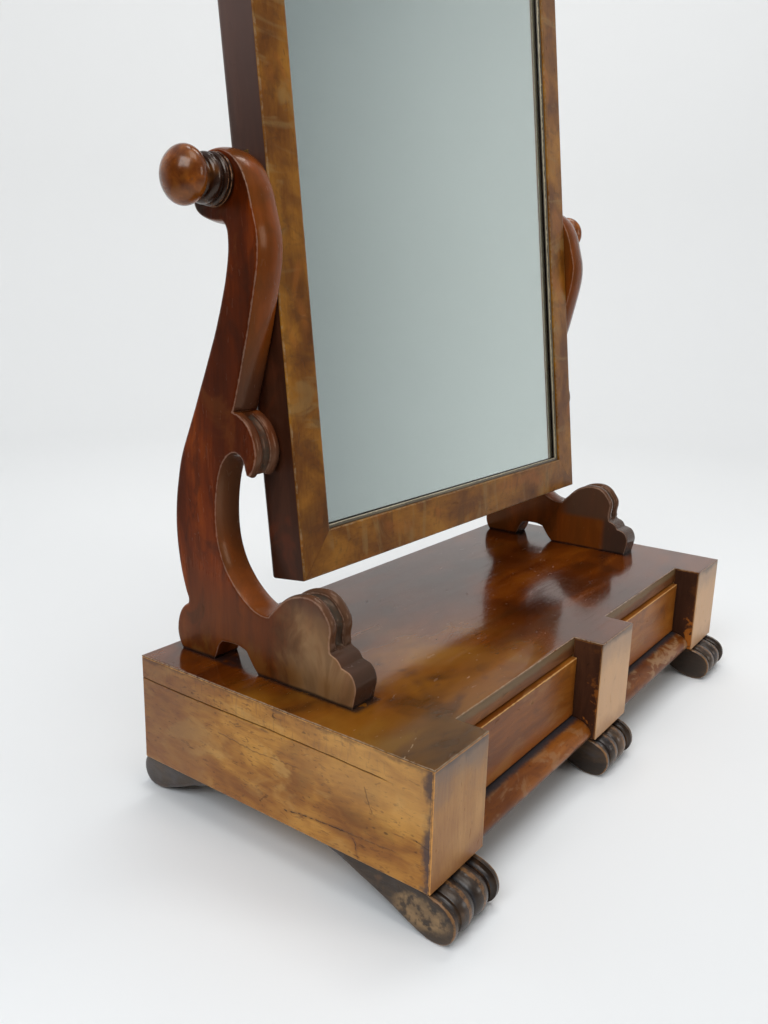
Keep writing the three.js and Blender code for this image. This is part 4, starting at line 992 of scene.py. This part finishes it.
# drawer fronts, lightly cupped, with rubbed top arrises
DZ0, DZ1 = FOOT_H + BOTTOM_T + 1.2, TOP_Z - TOP_T - 1.8
for side, x0, x1 in (("left", -B0 + DRAWER_CLEAR, -C0 - DRAWER_CLEAR), ("right", C0 + DRAWER_CLEAR, B0 - DRAWER_CLEAR)):
    def drawer_shape(V, info):
        P = info["P"]
        V = V.copy()
        face = np.abs(P[:, 1] - DRAWER_FACE_Y) < 1e-6
        u = (P[:, 2] - (DZ0 + DZ1) / 2) / ((DZ1 - DZ0) / 2)
        V[:, 1] += face * (0.35 * (1 - u * u) + 0.1 * hash3(P, 40, 3.0))
        info["wear"] *= np.where(P[:, 2] > DZ1 - 3, 0.95, 0.25)
        # painted shade: the foot of the face is darkened where it meets the gap above the rail
        info["dirt"] = clip01(1 - (P[:, 2] - DZ0) / 3.2) * face * 0.9
        return V
    rbox(f"drawer_{side}_front_piece", x0, x1, DRAWER_FACE_Y, DRAWER_FACE_Y + DRAWER_FRONT_T, DZ0, DZ1, M_DRAWER,
         f"drawer_{side}", [f"drawer_{side}_front"], r=1.1, step=(7, 7, 5), grain=along("x"),
         seed=8.2 if side == "left" else 9.4, shape=drawer_shape)

# feet
foot = [
    [-58, 0], [-59, -3], [-72, -6.5], [-90, -13.2], [-111, -20.8], [-130, -29.4],
    [-140, -33.9], [-149, -37.3], [-155.5, -39], [-163, -39], [-169, -37.6], [-174, -33.7],
    [-177, -28.2], [-178, -22.5], [-177.2, -17], [-175, -12.3], [-171.5, -8.8],
    [-167, -6.2], [-162, -4.4], [-156, -3], [-150, -1.2], [-146, 0]]
foot = [[y, z + FOOT_H - (GAP if z == 0 else 0)] for y, z in foot]


def foot_outline(mirror):
    pts = [[-y, z] for y, z in foot][::-1] if mirror else foot
    P, _ = smooth_outline(pts, 2.4, 30)
    if area2(P) < 0:
        P = P[::-1].copy()
    return P


def foot_mask(P):
    a = np.abs(P[:, 0])
    return ease((a - 74) / 60.0)


def carved_front_foot(name, x, dy, seed):
    P = foot_outline(False)
    m = foot_mask(P)
    free = ((P[:, 1] < FOOT_H - GAP - 0.05) | (P[:, 0] < -147)).astype(float)
    Pm = P + np.array([dy, 0.0])
    half = FOOT_W / 2
    ws = []
    for w in (0, 0, 0.35, 0.9, 1.5, 2.6, 3.8, 4.7, 5.0, 5.5, 6.6, 8.0, 9.6, 11.0, 11.7, 12.0, 12.3, 13.0, 14.3, 16.2, 18.6, 21.0, 22.5,
              24.0, 26.4, 28.8, 30.6, 31.9, 32.6, 33.0):
        ws.append(w)
    stations = []
    seq = [(w, i == 0) for i, w in enumerate(ws)] + [(FOOT_W - w, i == len(ws) - 1) for i, w in enumerate(ws[::-1][1:])]
    for w, cap in seq:
        ww = min(w, FOOT_W - w)
        if ww < 1.5:
            ins = 1.5 - math.sqrt(max(0.0, 1.5**2 - (1.5 - ww) ** 2))
        else:
            ins = 0.0
        if ww <= 5.0:
            extra, wear, dirt = 0.0, (0.75 if 0.2 < ww < 2.0 else 0.38), 0.1
        elif ww <= 12.0:
            u = (ww - 8.5) / 3.5
            extra = 1.6 + 3.4 * math.sqrt(max(0.0, 1 - u * u))
            wear, dirt = (0.5 if abs(u) > 0.97 else 0.0), 0.75 * (1 - u * u) + 0.2
        else:
            u = (ww - 22.5) / 10.5
            extra = 4.6 * (1 - math.sqrt(max(0.0, 1 - (0.96 * u) ** 2))) / (1 - math.sqrt(1 - 0.96**2))
            wear = 0.62 if abs(u) < 0.35 else (0.35 if abs(u) > 0.97 else 0.12)
            dirt = 0.8 * ease((abs(u) - 0.55) / 0.45)
        inset = (ins + extra * m) * free
        if cap:
            inset = (inset + 2.6) * free + 0.0
            wear = 0.0
        front = ease((np.abs(P[:, 0]) - 118) / 40.0)
        stations.append((x - half + w, inset, wear * front * free, dirt * m))
    return loft(name, Pm, stations, lambda a, b, t: np.stack([t, a, b], 1), M_FOOT, "base",
                [name.replace("_piece", "")], grain=along("y"), seed=seed, wobble=0.25, angle=42)


carved_front_foot("foot_front_left_piece", -HW + 2 + FOOT_W / 2, 0.0, 1.1)
carved_front_foot("foot_front_centre_piece", -3.0, 7.0, 2.3)
carved_front_foot("foot_front_right_piece", HW - 2 - FOOT_W / 2, 0.0, 3.7)
for name, s in (("left", -1), ("right", 1)):
    P = foot_outline(True)
    x = s * (HW - 13 - REAR_FOOT_W / 2)
    free = ((P[:, 1] < FOOT_H - GAP - 0.05) | (P[:, 0] > 147)).astype(float)
    st = []
    for w, wear in ((0.0, 0), (0.0, 0.3), (0.5, 0.5), (1.3, 0.5), (2.5, 0.3), (5.0, 0)):
        r = 4.0
        ins = r - math.sqrt(max(0, r * r - (r - min(w, r)) ** 2)) if w < r else 0.0
        st.append((x - REAR_FOOT_W / 2 + w, (ins + (2.5 if not st else 0)) * free, wear * 0.6, 0.2))
    for w in np.linspace(5, REAR_FOOT_W - 5, 8)[1:-1]:
        st.append((x - REAR_FOOT_W / 2 + w, 0.0, 0.0, 0.1))
    left = st[:6]
    for t, ins, wear, dirt in left[::-1]:
        st.append((2 * x - t, ins, wear, dirt))
    loft(f"foot_rear_{name}_piece", P, st, lambda a, b, t: np.stack([t, a, b], 1), M_FOOT, "base",
         [f"foot_rear_{name}"], grain=along("y"), seed=4.1 + s, wobble=0.25, angle=42)

# ============================================================================
# uprights
# ============================================================================
upright = [
    [-55.7, 0], [-57.6, 9.1], [-58.9, 18.0], [-57.3, 23.5], [-55.2, 27.1], [-52.2, 29.6], [-48.1, 30.9],
    [-44.1, 31.9], [-43.0, 33.7], [-40.9, 36.5], [-37.8, 38.6], [-33.7, 40.0],
    [-31.1, 42.3], [-30.0, 48.0], [-30.6, 54.0], [-31.4, 59.3], [-30.3, 64.9], [-28.2, 68.2], [-26.1, 70.9],
    [-23.0, 74.8], [-18.8, 78.0], [-14.6, 79.9], [-9.4, 80.7], [-4.1, 80.5], [1.3, 79.6], [10.0, 76.3],
    [17.7, 71.1], [22.1, 66.8], [26.4, 62.3], [30.6, 58.3], [34.6, 55.3],
    [41.5, 54.8], [48.5, 56.2], [55.5, 59.2], [61.3, 62.9], [67.2, 67.5], [73.1, 73.0], [79.0, 79.9],
    [83.7, 86.3], [87.2, 92.7], [90.6, 101.0], [92.6, 107.5], [94.1, 115.5], [95.0, 124.1], [95.2, 132.9],
    [94.9, 141.7], [94.0, 150.5], [92.6, 159.4], [90.4, 168.2], [87.2, 176.3], [82.6, 182.9], [77.9, 187.0],
    [73.9, 188.8], [69.3, 189.0], [64.7, 186.8], [61.4, 182.3], [59.4, 176.0],
    [58.1, 172.0], [55.3, 172.6], [52.7, 176.0], [50.2, 181.3], [48.7, 186.4], [48.4, 191.0], [49.2, 196.2],
    [51.2, 202.4], [54.3, 208.6], [58.7, 213.7], [64.3, 217.9], [69.0, 220.4], [72.3, 222.6],
    [70.7, 227.3], [68.2, 236.0], [64.9, 247.0], [62.2, 256.7], [59.8, 266.2], [56.6, 278.0], [53.9, 288.8],
    [51.4, 300.0], [48.7, 312.0], [46.0, 324.5], [44.1, 334.5], [42.9, 345.0], [42.8, 355.0], [44.0, 364.2],
    [46.2, 372.3], [48.6, 380.6], [50.7, 388.0], [53.3, 396.0], [56.8, 403.3], [60.4, 409.2], [65.0, 414.4],
    [71.0, 419.0], [78.0, 422.1], [85.6, 423.7], [92.2, 423.1], [98.6, 421.2], [104.5, 417.6], [109.3, 412.6],
    [112.5, 406.5], [114.0, 399.5], [113.7, 391.5], [112.2, 384.3],
    [109.8, 379.6], [105.3, 376.0], [99.6, 373.6], [94.0, 372.0], [88.3, 371.2], [80.9, 370.5],
    [77.6, 367.4], [75.9, 363.4], [75.0, 356.3], [75.0, 348.9], [75.8, 341.4], [77.1, 333.9], [78.9, 325.3],
    [81.8, 314.9], [85.0, 304.2], [88.7, 293.0], [93.0, 281.0], [97.3, 270.6], [101.5, 260.4], [106.2, 249.0],
    [110.5, 239.1], [114.5, 229.4], [118.4, 220.1], [122.6, 210.8], [127.0, 200.8], [131.3, 191.3],
    [135.1, 182.1], [138.1, 173.0], [140.3, 163.9], [142.1, 154.7], [143.6, 147.0], [144.8, 138.1],
    [145.7, 127.5], [146.1, 117.8], [145.9, 108.7], [145.2, 99.6], [144.1, 90.5], [142.6, 81.4],
    [140.7, 72.9], [138.5, 64.8], [135.8, 56.4], [132.8, 47.8], [133.6, 44.4],
    [139.1, 40.9], [143.4, 35.7], [146.4, 29.0], [148.1, 21.8], [148.4, 15.0], [147.4, 9.4], [145.5, 4.6], [142.3, 0],
    [101.0, 0], [98.6, 4.1], [96.5, 9.6], [94.2, 15.0], [90.5, 19.1], [80.5, 20.3], [68.2, 19.9], [61.0, 17.9],
    [57.2, 12.2], [52.8, 6.2], [46.9, 0]]


def where(pt):
    return next(i for i, p in enumerate(upright) if p == pt)


I_LOBE0, I_LOBE1 = where([-31.1, 42.3]), where([34.6, 55.3])
I_KN0, I_KN1 = where([58.1, 172.0]), where([72.3, 222.6])
UP, UIDX = smooth_outline(upright, 2.0, 33)
k0 = int(np.argmin(np.abs(UIDX - I_KN1)))             # extra points either side of the ledge corner
pa, pb, pc = UP[k0 - 1], UP[k0], UP[(k0 + 1) % len(UP)]
da, dc = 0.55 / np.linalg.norm(pa - pb), 0.55 / np.linalg.norm(pc - pb)
UP = np.insert(UP, [k0, k0 + 1], [pb + (pa - pb) * da, pb + (pc - pb) * dc], axis=0)
UIDX = np.insert(UIDX, [k0, k0 + 1], [I_KN1 - da * (I_KN1 - UIDX[k0 - 1]), I_KN1 + dc * (UIDX[k0 + 1] - I_KN1)])
LEDGE = (np.arange(len(UP)) == k0 + 1).astype(float)
if area2(UP) < 0:
    UP, UIDX, LEDGE = UP[::-1].copy(), UIDX[::-1].copy(), LEDGE[::-1].copy()


def within(idx, a, b, soft=0.5):
    return ease(np.minimum(idx - a, b - idx) / soft)


U_MOULD = np.maximum(within(UIDX, I_LOBE0 - 0.25, I_LOBE1 - 0.2, 0.45), within(UIDX, I_KN0 + 0.4, I_KN1 - 0.45, 0.45))
U_FREE = ease((UP[:, 1] - 0.3) / 1.5)          # the sole stays flat on the top
U_CROWN = U_FREE * (1 - U_MOULD) * (1 - within(UIDX, 6.0, I_LOBE0 + 0.1, 0.4)) * ease((UP[:, 1] - 34) / 12)
U_CROWN = U_CROWN * (1 - within(UIDX, I_KN0 - 0.2, I_KN1 + 0.1, 0.3)) * ease(np.abs(UIDX - I_KN1) / 0.5)
U_RISE = UP[:, 1]


def upright_piece(side, s, seed):
    x0 = -UPRIGHT_OUT if s < 0 else UPRIGHT_OUT - UPRIGHT_T
    half = UPRIGHT_T / 2
    ts = [0.0, 0.0, 0.25, 0.6, 1.0, 2.0, 3.3, 4.8, 6.3, 7.6, 8.6, 9.2, 9.45, 9.8, 10.5, 11.6, 12.9, half]
    seq = [(t, i == 0) for i, t in enumerate(ts)] + [(UPRIGHT_T - t, i == len(ts) - 2) for i, t in enumerate(ts[::-1][1:])]
    st = []
    for t, cap in seq:
        tt = min(t, UPRIGHT_T - t)
        r = 1.0
        ins = r - math.sqrt(max(0.0, r * r - (r - min(tt, r)) ** 2))
        u = (half - tt) / half
        crown = 0.2 - 2.6 * max(0.0, 1 - abs(u) ** 2.2)
        if tt <= 9.2:
            u = (tt - 4.4) / 4.8
            mould = 0.4 - 2.9 * math.sqrt(max(0.0, 1 - min(1.0, abs(u)) ** 2.2))
            mdirt = 0.0
        else:
            u = (half - tt) / (half - 9.4)
            mould = 1.4 + 2.6 * math.sqrt(max(0.0, 1 - min(1.0, abs(u)) ** 2))
            mdirt = 0.7
        wear = {0.0: 0.45, 0.25: 0.85, 0.6: 0.6, 1.0: 0.15}.get(tt, 0.0)
        mwear = 0.75 if 9.1 < tt < 9.3 else 0.0
        inset = ins * (0.25 + 0.75 * U_FREE) + crown * U_CROWN + mould * U_MOULD
        w = np.maximum(np.maximum(wear, mwear * U_MOULD), 0.8 * LEDGE)
        if cap:
            inset = inset + 2.0
            w = 0.0 * w
        st.append((x0 + t, inset, w, mdirt * U_MOULD))
    return loft(f"upright_{side}_piece", UP, st, lambda a, b, t: np.stack([t, a, b + TOP_Z + GAP], 1), M_DARK, "base",
                [f"upright_{side}"], holes=[(PIVOT_Y, PIVOT_Z - TOP_Z - GAP, SPINDLE_R + 1)],
                grain=along("z"), seed=seed, angle=40)


upright_piece("left", -1, 2.7)
upright_piece("right", 1, 6.3)

# ============================================================================
# looking glass
# ============================================================================
N0, V0 = -PIVOT_FROM_FRONT, -PIVOT_FROM_BOTTOM
V1, MW = V0 + MIRROR_H, MIRROR_W / 2
CT, ST = math.cos(math.radians(TILT)), math.sin(math.radians(TILT))


def tilted(x, y, z):
    return np.stack([x, y * CT + z * ST + PIVOT_Y, -y * ST + z * CT + PIVOT_Z], 1)


def sec_arc(cx, cy, r, a0, a1, k):
    return [(cx + r * math.cos(math.radians(a0 + (a1 - a0) * i / k)), cy + r * math.sin(math.radians(a0 + (a1 - a0) * i / k))) for i in range(k + 1)]


def member_piece(name, sec, wear, dirt, length, inset, where_, material, node, seed, amp=0.10):
    """Section points (in from the outer edge, depth) run along a member with mitred ends."""
    sec = np.array(sec, float)
    n = len(sec)
    k = max(4, int(length / 14))
    us = np.linspace(0, 1, k + 1)
    V, W, D, G = [], [], [], []
    for u in us:
        a = (sec[:, 0] + 0.12) * (1 - u) + (length - sec[:, 0] - 0.12) * u
        sx = sec[:, 0] + amp * np.array([mnoise.noise(Vector((q / 23 + seed, p[0] / 9, p[1] / 9))) for q, p in zip(a, sec)]) * (sec[:, 1] < 4)
        d = sec[:, 1] + amp * 0.6 * np.array([abs(mnoise.noise(Vector((q / 31 - seed, p[0] / 14, p[1] / 14)))) for q, p in zip(a, sec)])
        if where_ == "left":
            p = (-MW + inset + sx, N0 + d, V0 + inset + a)
        elif where_ == "right":
            p = (MW - inset - sx, N0 + d, V1 - inset - a)
        elif where_ == "bottom":
            p = (MW - inset - a, N0 + d, V0 + inset + sx)
        else:
            p = (-MW + inset + a, N0 + d, V1 - inset - sx)
        V.append(tilted(*[np.broadcast_to(q, (n,)) for q in p]))
        G.append(np.stack([a, sec[:, 0], sec[:, 1]], 1))
        W.append(wear)
        D.append(dirt)
    F = []
    i = np.arange(n)
    j = (i + 1) % n
    for s_ in range(k):
        F += list(zip(s_ * n + i, s_ * n + j, (s_ + 1) * n + j, (s_ + 1) * n + i))
    Gc = np.concatenate(G)
    return build(name, np.concatenate(V), F, material, "mirror", [node], wear=np.concatenate(W), dirt=np.concatenate(D),
                 grain=lambda _: Gc, caps=[[list(range(n))], [list(range(k * n, (k + 1) * n))]], seed=seed)


r1, r2 = 1.3, 0.9
fsec = sec_arc(r1, r1, r1, 180, 270, 4) + [(3.2, 0), (8, 0), (16, 0), (24, 0), (31, 0), (MEMBER_W - 2.8, 0)] + \
    sec_arc(MEMBER_W - r2, r2, r2, 270, 360, 3) + [(MEMBER_W, 2.4), (MEMBER_W, LIP_D), (MEMBER_W - REBATE_W, LIP_D),
    (MEMBER_W - REBATE_W, MIRROR_D), (16, MIRROR_D)] + sec_arc(6, MIRROR_D - 6, 6, 90, 180, 6) + [(0, 24), (0, 10), (0, 3.4)]
fw = []
for p in fsec:
    if p[1] <= r1 and p[0] <= r1 + 0.01:
        fw.append(0.56)
    elif p[1] <= r2 and p[0] >= MEMBER_W - r2 - 0.01:
        fw.append(0.6)
    elif p[1] > MIRROR_D - 5 and p[0] < 5:
        fw.append(0.35)
    else:
        fw.append(0.0)
fw = np.array(fw)
fd = np.array([0.0] * len(fsec))
slip = [[0.15, 2.6], [0.9, 2.55], [1.5, 2.68], [2.1, 2.95], [2.65, 3.4], [3.0, 3.95], [3.2, 4.6], [3.2, 6.3], [0.15, 6.3]]
sw = np.array([0.0, 0.15, 0.25, 0.3, 0.45, 0.75, 0.85, 0.3, 0])
# darker in the crease against the frame; painted shade on the glass-facing side of the bead, where the gap at the glass
# is dark
slip_dirt_and_shade = np.array([0.9, 0.2, 0, 0, 0, 0.2, 0.6, 0.9, 0.9])
for q, (w_, L) in enumerate((("left", MIRROR_H), ("right", MIRROR_H), ("top", MIRROR_W), ("bottom", MIRROR_W))):
    kind = "stile" if w_ in ("left", "right") else "rail"
    member_piece(f"frame_{kind}_{w_}_piece", fsec, fw, fd, L, 0.0, w_, M_FRAME, f"mirror_{kind}_{w_}", 1.9 + 1.7 * q)
    member_piece(f"slip_{w_}_piece", slip, sw, slip_dirt_and_shade, L - 2 * MEMBER_W, MEMBER_W, w_, M_SLIP, f"glass_slip_{w_}",
                 7.7 + q, amp=0.05)

# the outer edges of the frame are solid wood, not veneer: a second material by face
for w_ in ("left", "right", "top", "bottom"):
    kind = "stile" if w_ in ("left", "right") else "rail"
    ob = bpy.data.objects[f"frame_{kind}_{w_}_piece"]
    ob.data.materials.append(M_FSIDE)
    gco = np.zeros(len(ob.data.vertices) * 3, np.float32)
    ob.data.attributes["gco"].data.foreach_get("vector", gco)
    seed = {"left": 1.9, "right": 3.6, "top": 5.3, "bottom": 7.0}[w_]
    sdep = gco.reshape(-1, 3)[:, 1:] / MM - np.array([seed * 61.0, seed * 83.0])
    for p in ob.data.polygons:
        s_, d_ = sdep[list(p.vertices)].mean(0)
        if d_ > 2.2 and s_ < MEMBER_W - 1:
            p.material_index = 1

# plate glass in front of its silvering
GX = MW - MEMBER_W + REBATE_W - 1.2
GZ0, GZ1 = V0 + MEMBER_W - REBATE_W + 1.2, V1 - MEMBER_W + REBATE_W - 1.2


def slab_tilted(name, y0, y1, material, replaces, r, step, seed, edge=0.0, x=GX, z0=GZ0, z1=GZ1, shape=None, grain=None):
    def f(V, info):
        if edge:
            P = info["P"]
            d = np.minimum(np.minimum(P[:, 0] + x, x - P[:, 0]), np.minimum(P[:, 2] - z0, z1 - P[:, 2]))
            info["dirt"] = clip01(1 - d / edge)
        info["local"] = V.copy()
        if shape:
            V = shape(V, info)
        return tilted(V[:, 0], V[:, 1], V[:, 2])
    return rbox(name, -x, x, y0, y1, z0, z1, material, "mirror", replaces, r=r, step=step, seed=seed, shape=f, grain=grain)


g0 = N0 + LIP_D + 0.3
slab_tilted("mirror_silvering_piece", g0 + 3.0, g0 + GLASS_T, M_SILVER, ["mirror_glass"], 0.2, (20, 20, 20), 1.0, edge=26.0)
slab_tilted("mirror_plate_piece", g0, g0 + 2.9, M_GLASS, ["mirror_glass"], 0.3, (60, 60, 60), 1.5)


def planks(V, info):
    P = info["P"]
    V = V.copy()
    for zz in (-110.0, 108.0):
        g = clip01(1 - np.abs(P[:, 2] - zz) / 1.2)
        back = P[:, 1] > N0 + MIRROR_D - 1.6
        V[:, 1] -= back * g * 1.5
        info["dirt"] = np.maximum(info["dirt"], g)
    return V


M_BACK = wood("backboard_pine", [(0.0, (92, 62, 38)), (0.4, (120, 86, 52)), (0.7, (140, 104, 66)), (1.0, (156, 120, 80))],
              figure=(3.0, 60.0, 60.0), fleck=0.25, rough=(0.6, 0.82), coat=0.0, bump=0.4)


def back_shape(V, info):
    return planks(V, info)


rbox("mirror_backboard_piece", -GX, GX, N0 + MIRROR_D - 8, N0 + MIRROR_D - 1.5, GZ0, GZ1, M_BACK, "mirror", ["mirror_backboard"],
     r=0.6, step=(40, 6, 30), seed=2.2, grain=lambda V: np.stack([V[:, 0], V[:, 2], V[:, 1]], 1),
     extra=((), (), [-111.2, -110.6, -110, -109.4, -108.8, 106.8, 107.4, 108, 108.6, 109.2]),
     shape=lambda V, info: (lambda W: tilted(W[:, 0], W[:, 1], W[:, 2]))(planks(V, info)))

# ============================================================================
# knobs, spindles, plates
# ============================================================================
knob = [
    [0, 48.0], [4, 47.7], [8, 46.8], [12, 45.1], [15.5, 42.9], [18.6, 40.0], [20.9, 36.8], [21.9, 33.6],
    [21.7, 30.4], [20.3, 27.2], [17.8, 24.6], [14.8, 22.8], [13.4, 21.6], [13.2, 20.2], [14.2, 18.9],
    [16.6, 17.9], [18.5, 16.0], [19.2, 13.6], [18.6, 11.2], [17.2, 9.6], [17.2, 8.6], [18.9, 8.0], [19.9, 6.8],
    [19.9, 5.4], [18.8, 4.4], [18.8, 3.5], [20.3, 3.1], [20.6, 2.2], [20.3, 0.9], [19.6, 0.4]]
KP, _ = smooth_outline(knob, 0.9, 38, closed=False)
KP[:, 0] = np.minimum(KP[:, 0], 21.95)
KP[0, 0] = 0.0
KP = np.concatenate([KP, [[SPINDLE_R + 0.3, 0.4], [SPINDLE_R + 0.3, 20.0], [0.0, 20.0]]])
kwear = np.array([0.8 * max(clip01(1 - abs(t - c) / 0.7) for c in (3.0, 6.2)) for r_, t in KP])
kdirt = np.array([0.9 * max(clip01(1 - abs(t - c) / w) for c, w in ((9.1, 1.2), (4.0, 0.7), (20.8, 1.8))) for r_, t in KP])
kdirt[-3:] = 0
for side, s in (("left", -1), ("right", 1)):
    lathe(f"knob_{side}_piece", [tuple(p) for p in KP], lambda a, b, t, s=s: (s * (UPRIGHT_OUT + t), PIVOT_Y + a, PIVOT_Z + b),
          M_KNOB, f"knob_{side}", [f"knob_{side}"], seg=80, grain=lambda V: V[:, (0, 1, 2)], seed=3.1 + s, wear=kwear, dirt=kdirt)
    # screwed spindle with its thread rings
    a, b = UPRIGHT_OUT + 19.7, MW - 12
    prof = [(0.0, b), (SPINDLE_R - 0.9, b), (SPINDLE_R - 0.1, b + 0.8)]
    t = b + 0.8
    while t < UPRIGHT_OUT - UPRIGHT_T - 0.5:
        prof += [(SPINDLE_R - 0.02, t + 0.15), (SPINDLE_R - 0.02, t + 0.4), (SPINDLE_R - 0.5, t + 0.7), (SPINDLE_R - 0.5, t + 0.85)]
        t += 1.1
    prof += [(SPINDLE_R - 0.02, t + 0.3), (SPINDLE_R - 0.02, a - 0.3), (SPINDLE_R - 0.4, a), (0.0, a)]
    lathe(f"pivot_spindle_{side}_piece", prof, lambda p, q, t, s=s: (s * t, PIVOT_Y + p, PIVOT_Z + q), M_STEEL, f"knob_{side}",
          [f"pivot_spindle_{side}"], seg=32, seed=1.0)


def dress(name, material, width=0.35, axis=None):
    """A CAD node kept as it is, with eased edges and a real material."""
    ob = NODES[name]
    ob.data.materials.clear()
    ob.data.materials.append(material)
    w = ob.modifiers.new("weld", "WELD")
    w.merge_threshold = 1e-5
    b = ob.modifiers.new("ease", "BEVEL")
    b.width = width * MM
    b.segments = 2
    b.limit_method = "ANGLE"
    b.angle_limit = math.radians(35)
    b.harden_normals = False
    return ob


PINE_Y = wood("pine_side", PINE, coords="object", figure=(60.0, 3.0, 60.0), fleck=0.15, fleck_col=(92, 60, 36), rough=(0.6, 0.8), coat=0.0, bump=0.35)
dress("top_board", M_BOARD)
for name in ("bottom_board", "back_board"):
    dress(name, M_PINE_X)
for i in range(1, 5):
    dress(f"drawer_partition_{i}", PINE_Y)
for side in ("left", "right"):
    dress(f"drawer_{side}_side_1", PINE_Y, 0.6)
    dress(f"drawer_{side}_side_2", PINE_Y, 0.6)
    dress(f"drawer_{side}_back", M_PINE_X, 0.6)
    dress(f"drawer_{side}_bottom", M_PINE_X, 0.3)
    dress(f"pivot_plate_{side}", M_BRASS, 0.3)
for name in ("left_front", "left_rear", "right_front", "right_rear"):
    dress(f"upright_screw_{name}", M_STEEL, 0.2)

# ============================================================================
# stage, light, camera
# ============================================================================
R, COVE, WALL = 3.0, 0.9, 3.0
prof = [(0.0, 0.0)] + [(q, 0.0) for q in (0.4, 0.8, 1.2, 1.6, R - COVE)]
prof += [(R - COVE + COVE * math.sin(math.radians(a)), COVE - COVE * math.cos(math.radians(a))) for a in range(6, 91, 6)]
prof += [(R, WALL)]
V, F = [(0, 0, -0.0006)], []
SEG = 96
for rr, zz in prof[1:]:
    V += [(rr * math.cos(2 * math.pi * q / SEG), rr * math.sin(2 * math.pi * q / SEG), zz - 0.0006) for q in range(SEG)]
F += [(0, 1 + q, 1 + (q + 1) % SEG) for q in range(SEG)]
for k in range(len(prof) - 2):
    o_ = 1 + k * SEG
    F += [(o_ + q, o_ + SEG + q, o_ + SEG + (q + 1) % SEG, o_ + (q + 1) % SEG) for q in range(SEG)]
me = bpy.data.meshes.new("floor")
me.from_pydata(V, [], F)
me.polygons.foreach_set("use_smooth", [True] * len(me.polygons))
floor = bpy.data.objects.new("floor", me)
scene.collection.objects.link(floor)
n = Tree("pale_floor")
P = n.object_co()
flat = n.vmath("MULTIPLY", P, (1, 1, 0))
dist = n.vmath("LENGTH", flat)
unit = n.vmath("NORMALIZE", flat)
back = n.step(n.vmath("DOT_PRODUCT", unit, (0.70, 0.71, 0)), -0.25, 0.35)
near = n.step(dist, 1.55, 0.70)
leftm = n.step(n.vmath("DOT_PRODUCT", unit, (-0.95, 0.30, 0)), 0.0, 0.7)
c = n.mix(leftm, (150, 150, 152), (70, 70, 72))
c = n.mix(n.math("MAXIMUM", back, near), c, (238, 238, 237))
n.put(n.bsdf.inputs["Base Color"], c)
n.put(n.bsdf.inputs["Roughness"], n.mixf(n.noise(P, 20.0), 0.62, 0.75))
floor.data.materials.append(n.mat)

world = bpy.data.worlds.new("soft")
scene.world = world
world.use_nodes = True
bg = world.node_tree.nodes["Background"]
bg.inputs[0].default_value = (0.84, 0.90, 0.98, 1)
bg.inputs[1].default_value = 0.45


def area(name, loc, target, size, power, color=(1, 1, 1)):
    d = bpy.data.lights.new(name, "AREA")
    d.shape = "RECTANGLE"
    d.size, d.size_y = size
    d.energy = power
    d.color = color
    o = bpy.data.objects.new(name, d)
    o.location = loc
    o.rotation_mode = "QUATERNION"
    o.rotation_quaternion = (Vector(target) - Vector(loc)).to_track_quat("-Z", "Y")
    scene.collection.objects.link(o)
    return o


area("overhead", (-0.6, -0.7, 2.5), (0, 0, 0.1), (1.1, 1.1), 13, (1.0, 0.98, 0.95))
area("window", (-2.0, -0.35, 1.90), (-0.2, 0, 0.1), (1.4, 1.2), 33, (0.90, 0.95, 1.0))
area("front_window", (0.6, -2.4, 1.15), (0, 0, 0.3), (0.8, 1.1), 12, (1.0, 0.99, 0.97))
area("wall_wash", (0.6, 0.2, 2.7), (1.9, 1.9, 0.6), (1.6, 0.8), 32, (1.0, 0.99, 0.97))

cam_data = bpy.data.cameras.new("camera")
cam = bpy.data.objects.new("camera", cam_data)
scene.collection.objects.link(cam)
scene.camera = cam
cam_data.sensor_width = 36.0
cam_data.lens = 876.66 * 36.0 / 1024.0
cam_data.clip_start, cam_data.clip_end = 0.02, 60.0
yaw, pitch, roll = (math.radians(a) for a in (53.848, -13.931, 1.455))
d = Vector((math.sin(yaw) * math.cos(pitch), math.cos(yaw) * math.cos(pitch), math.sin(pitch)))
right = Vector((math.cos(yaw), -math.sin(yaw), 0))
up = right.cross(d)
r2_ = math.cos(roll) * right + math.sin(roll) * up
u2_ = -math.sin(roll) * right + math.cos(roll) * up
M = Matrix((r2_, u2_, -d)).transposed().to_4x4()
M.translation = Vector((-0.7934, -0.4462, 0.4575))
cam.matrix_world = M

scene.view_settings.view_transform = "Standard"
scene.view_settings.look = "None"
scene.view_settings.exposure = 0.0
scene.view_settings.gamma = 1.0
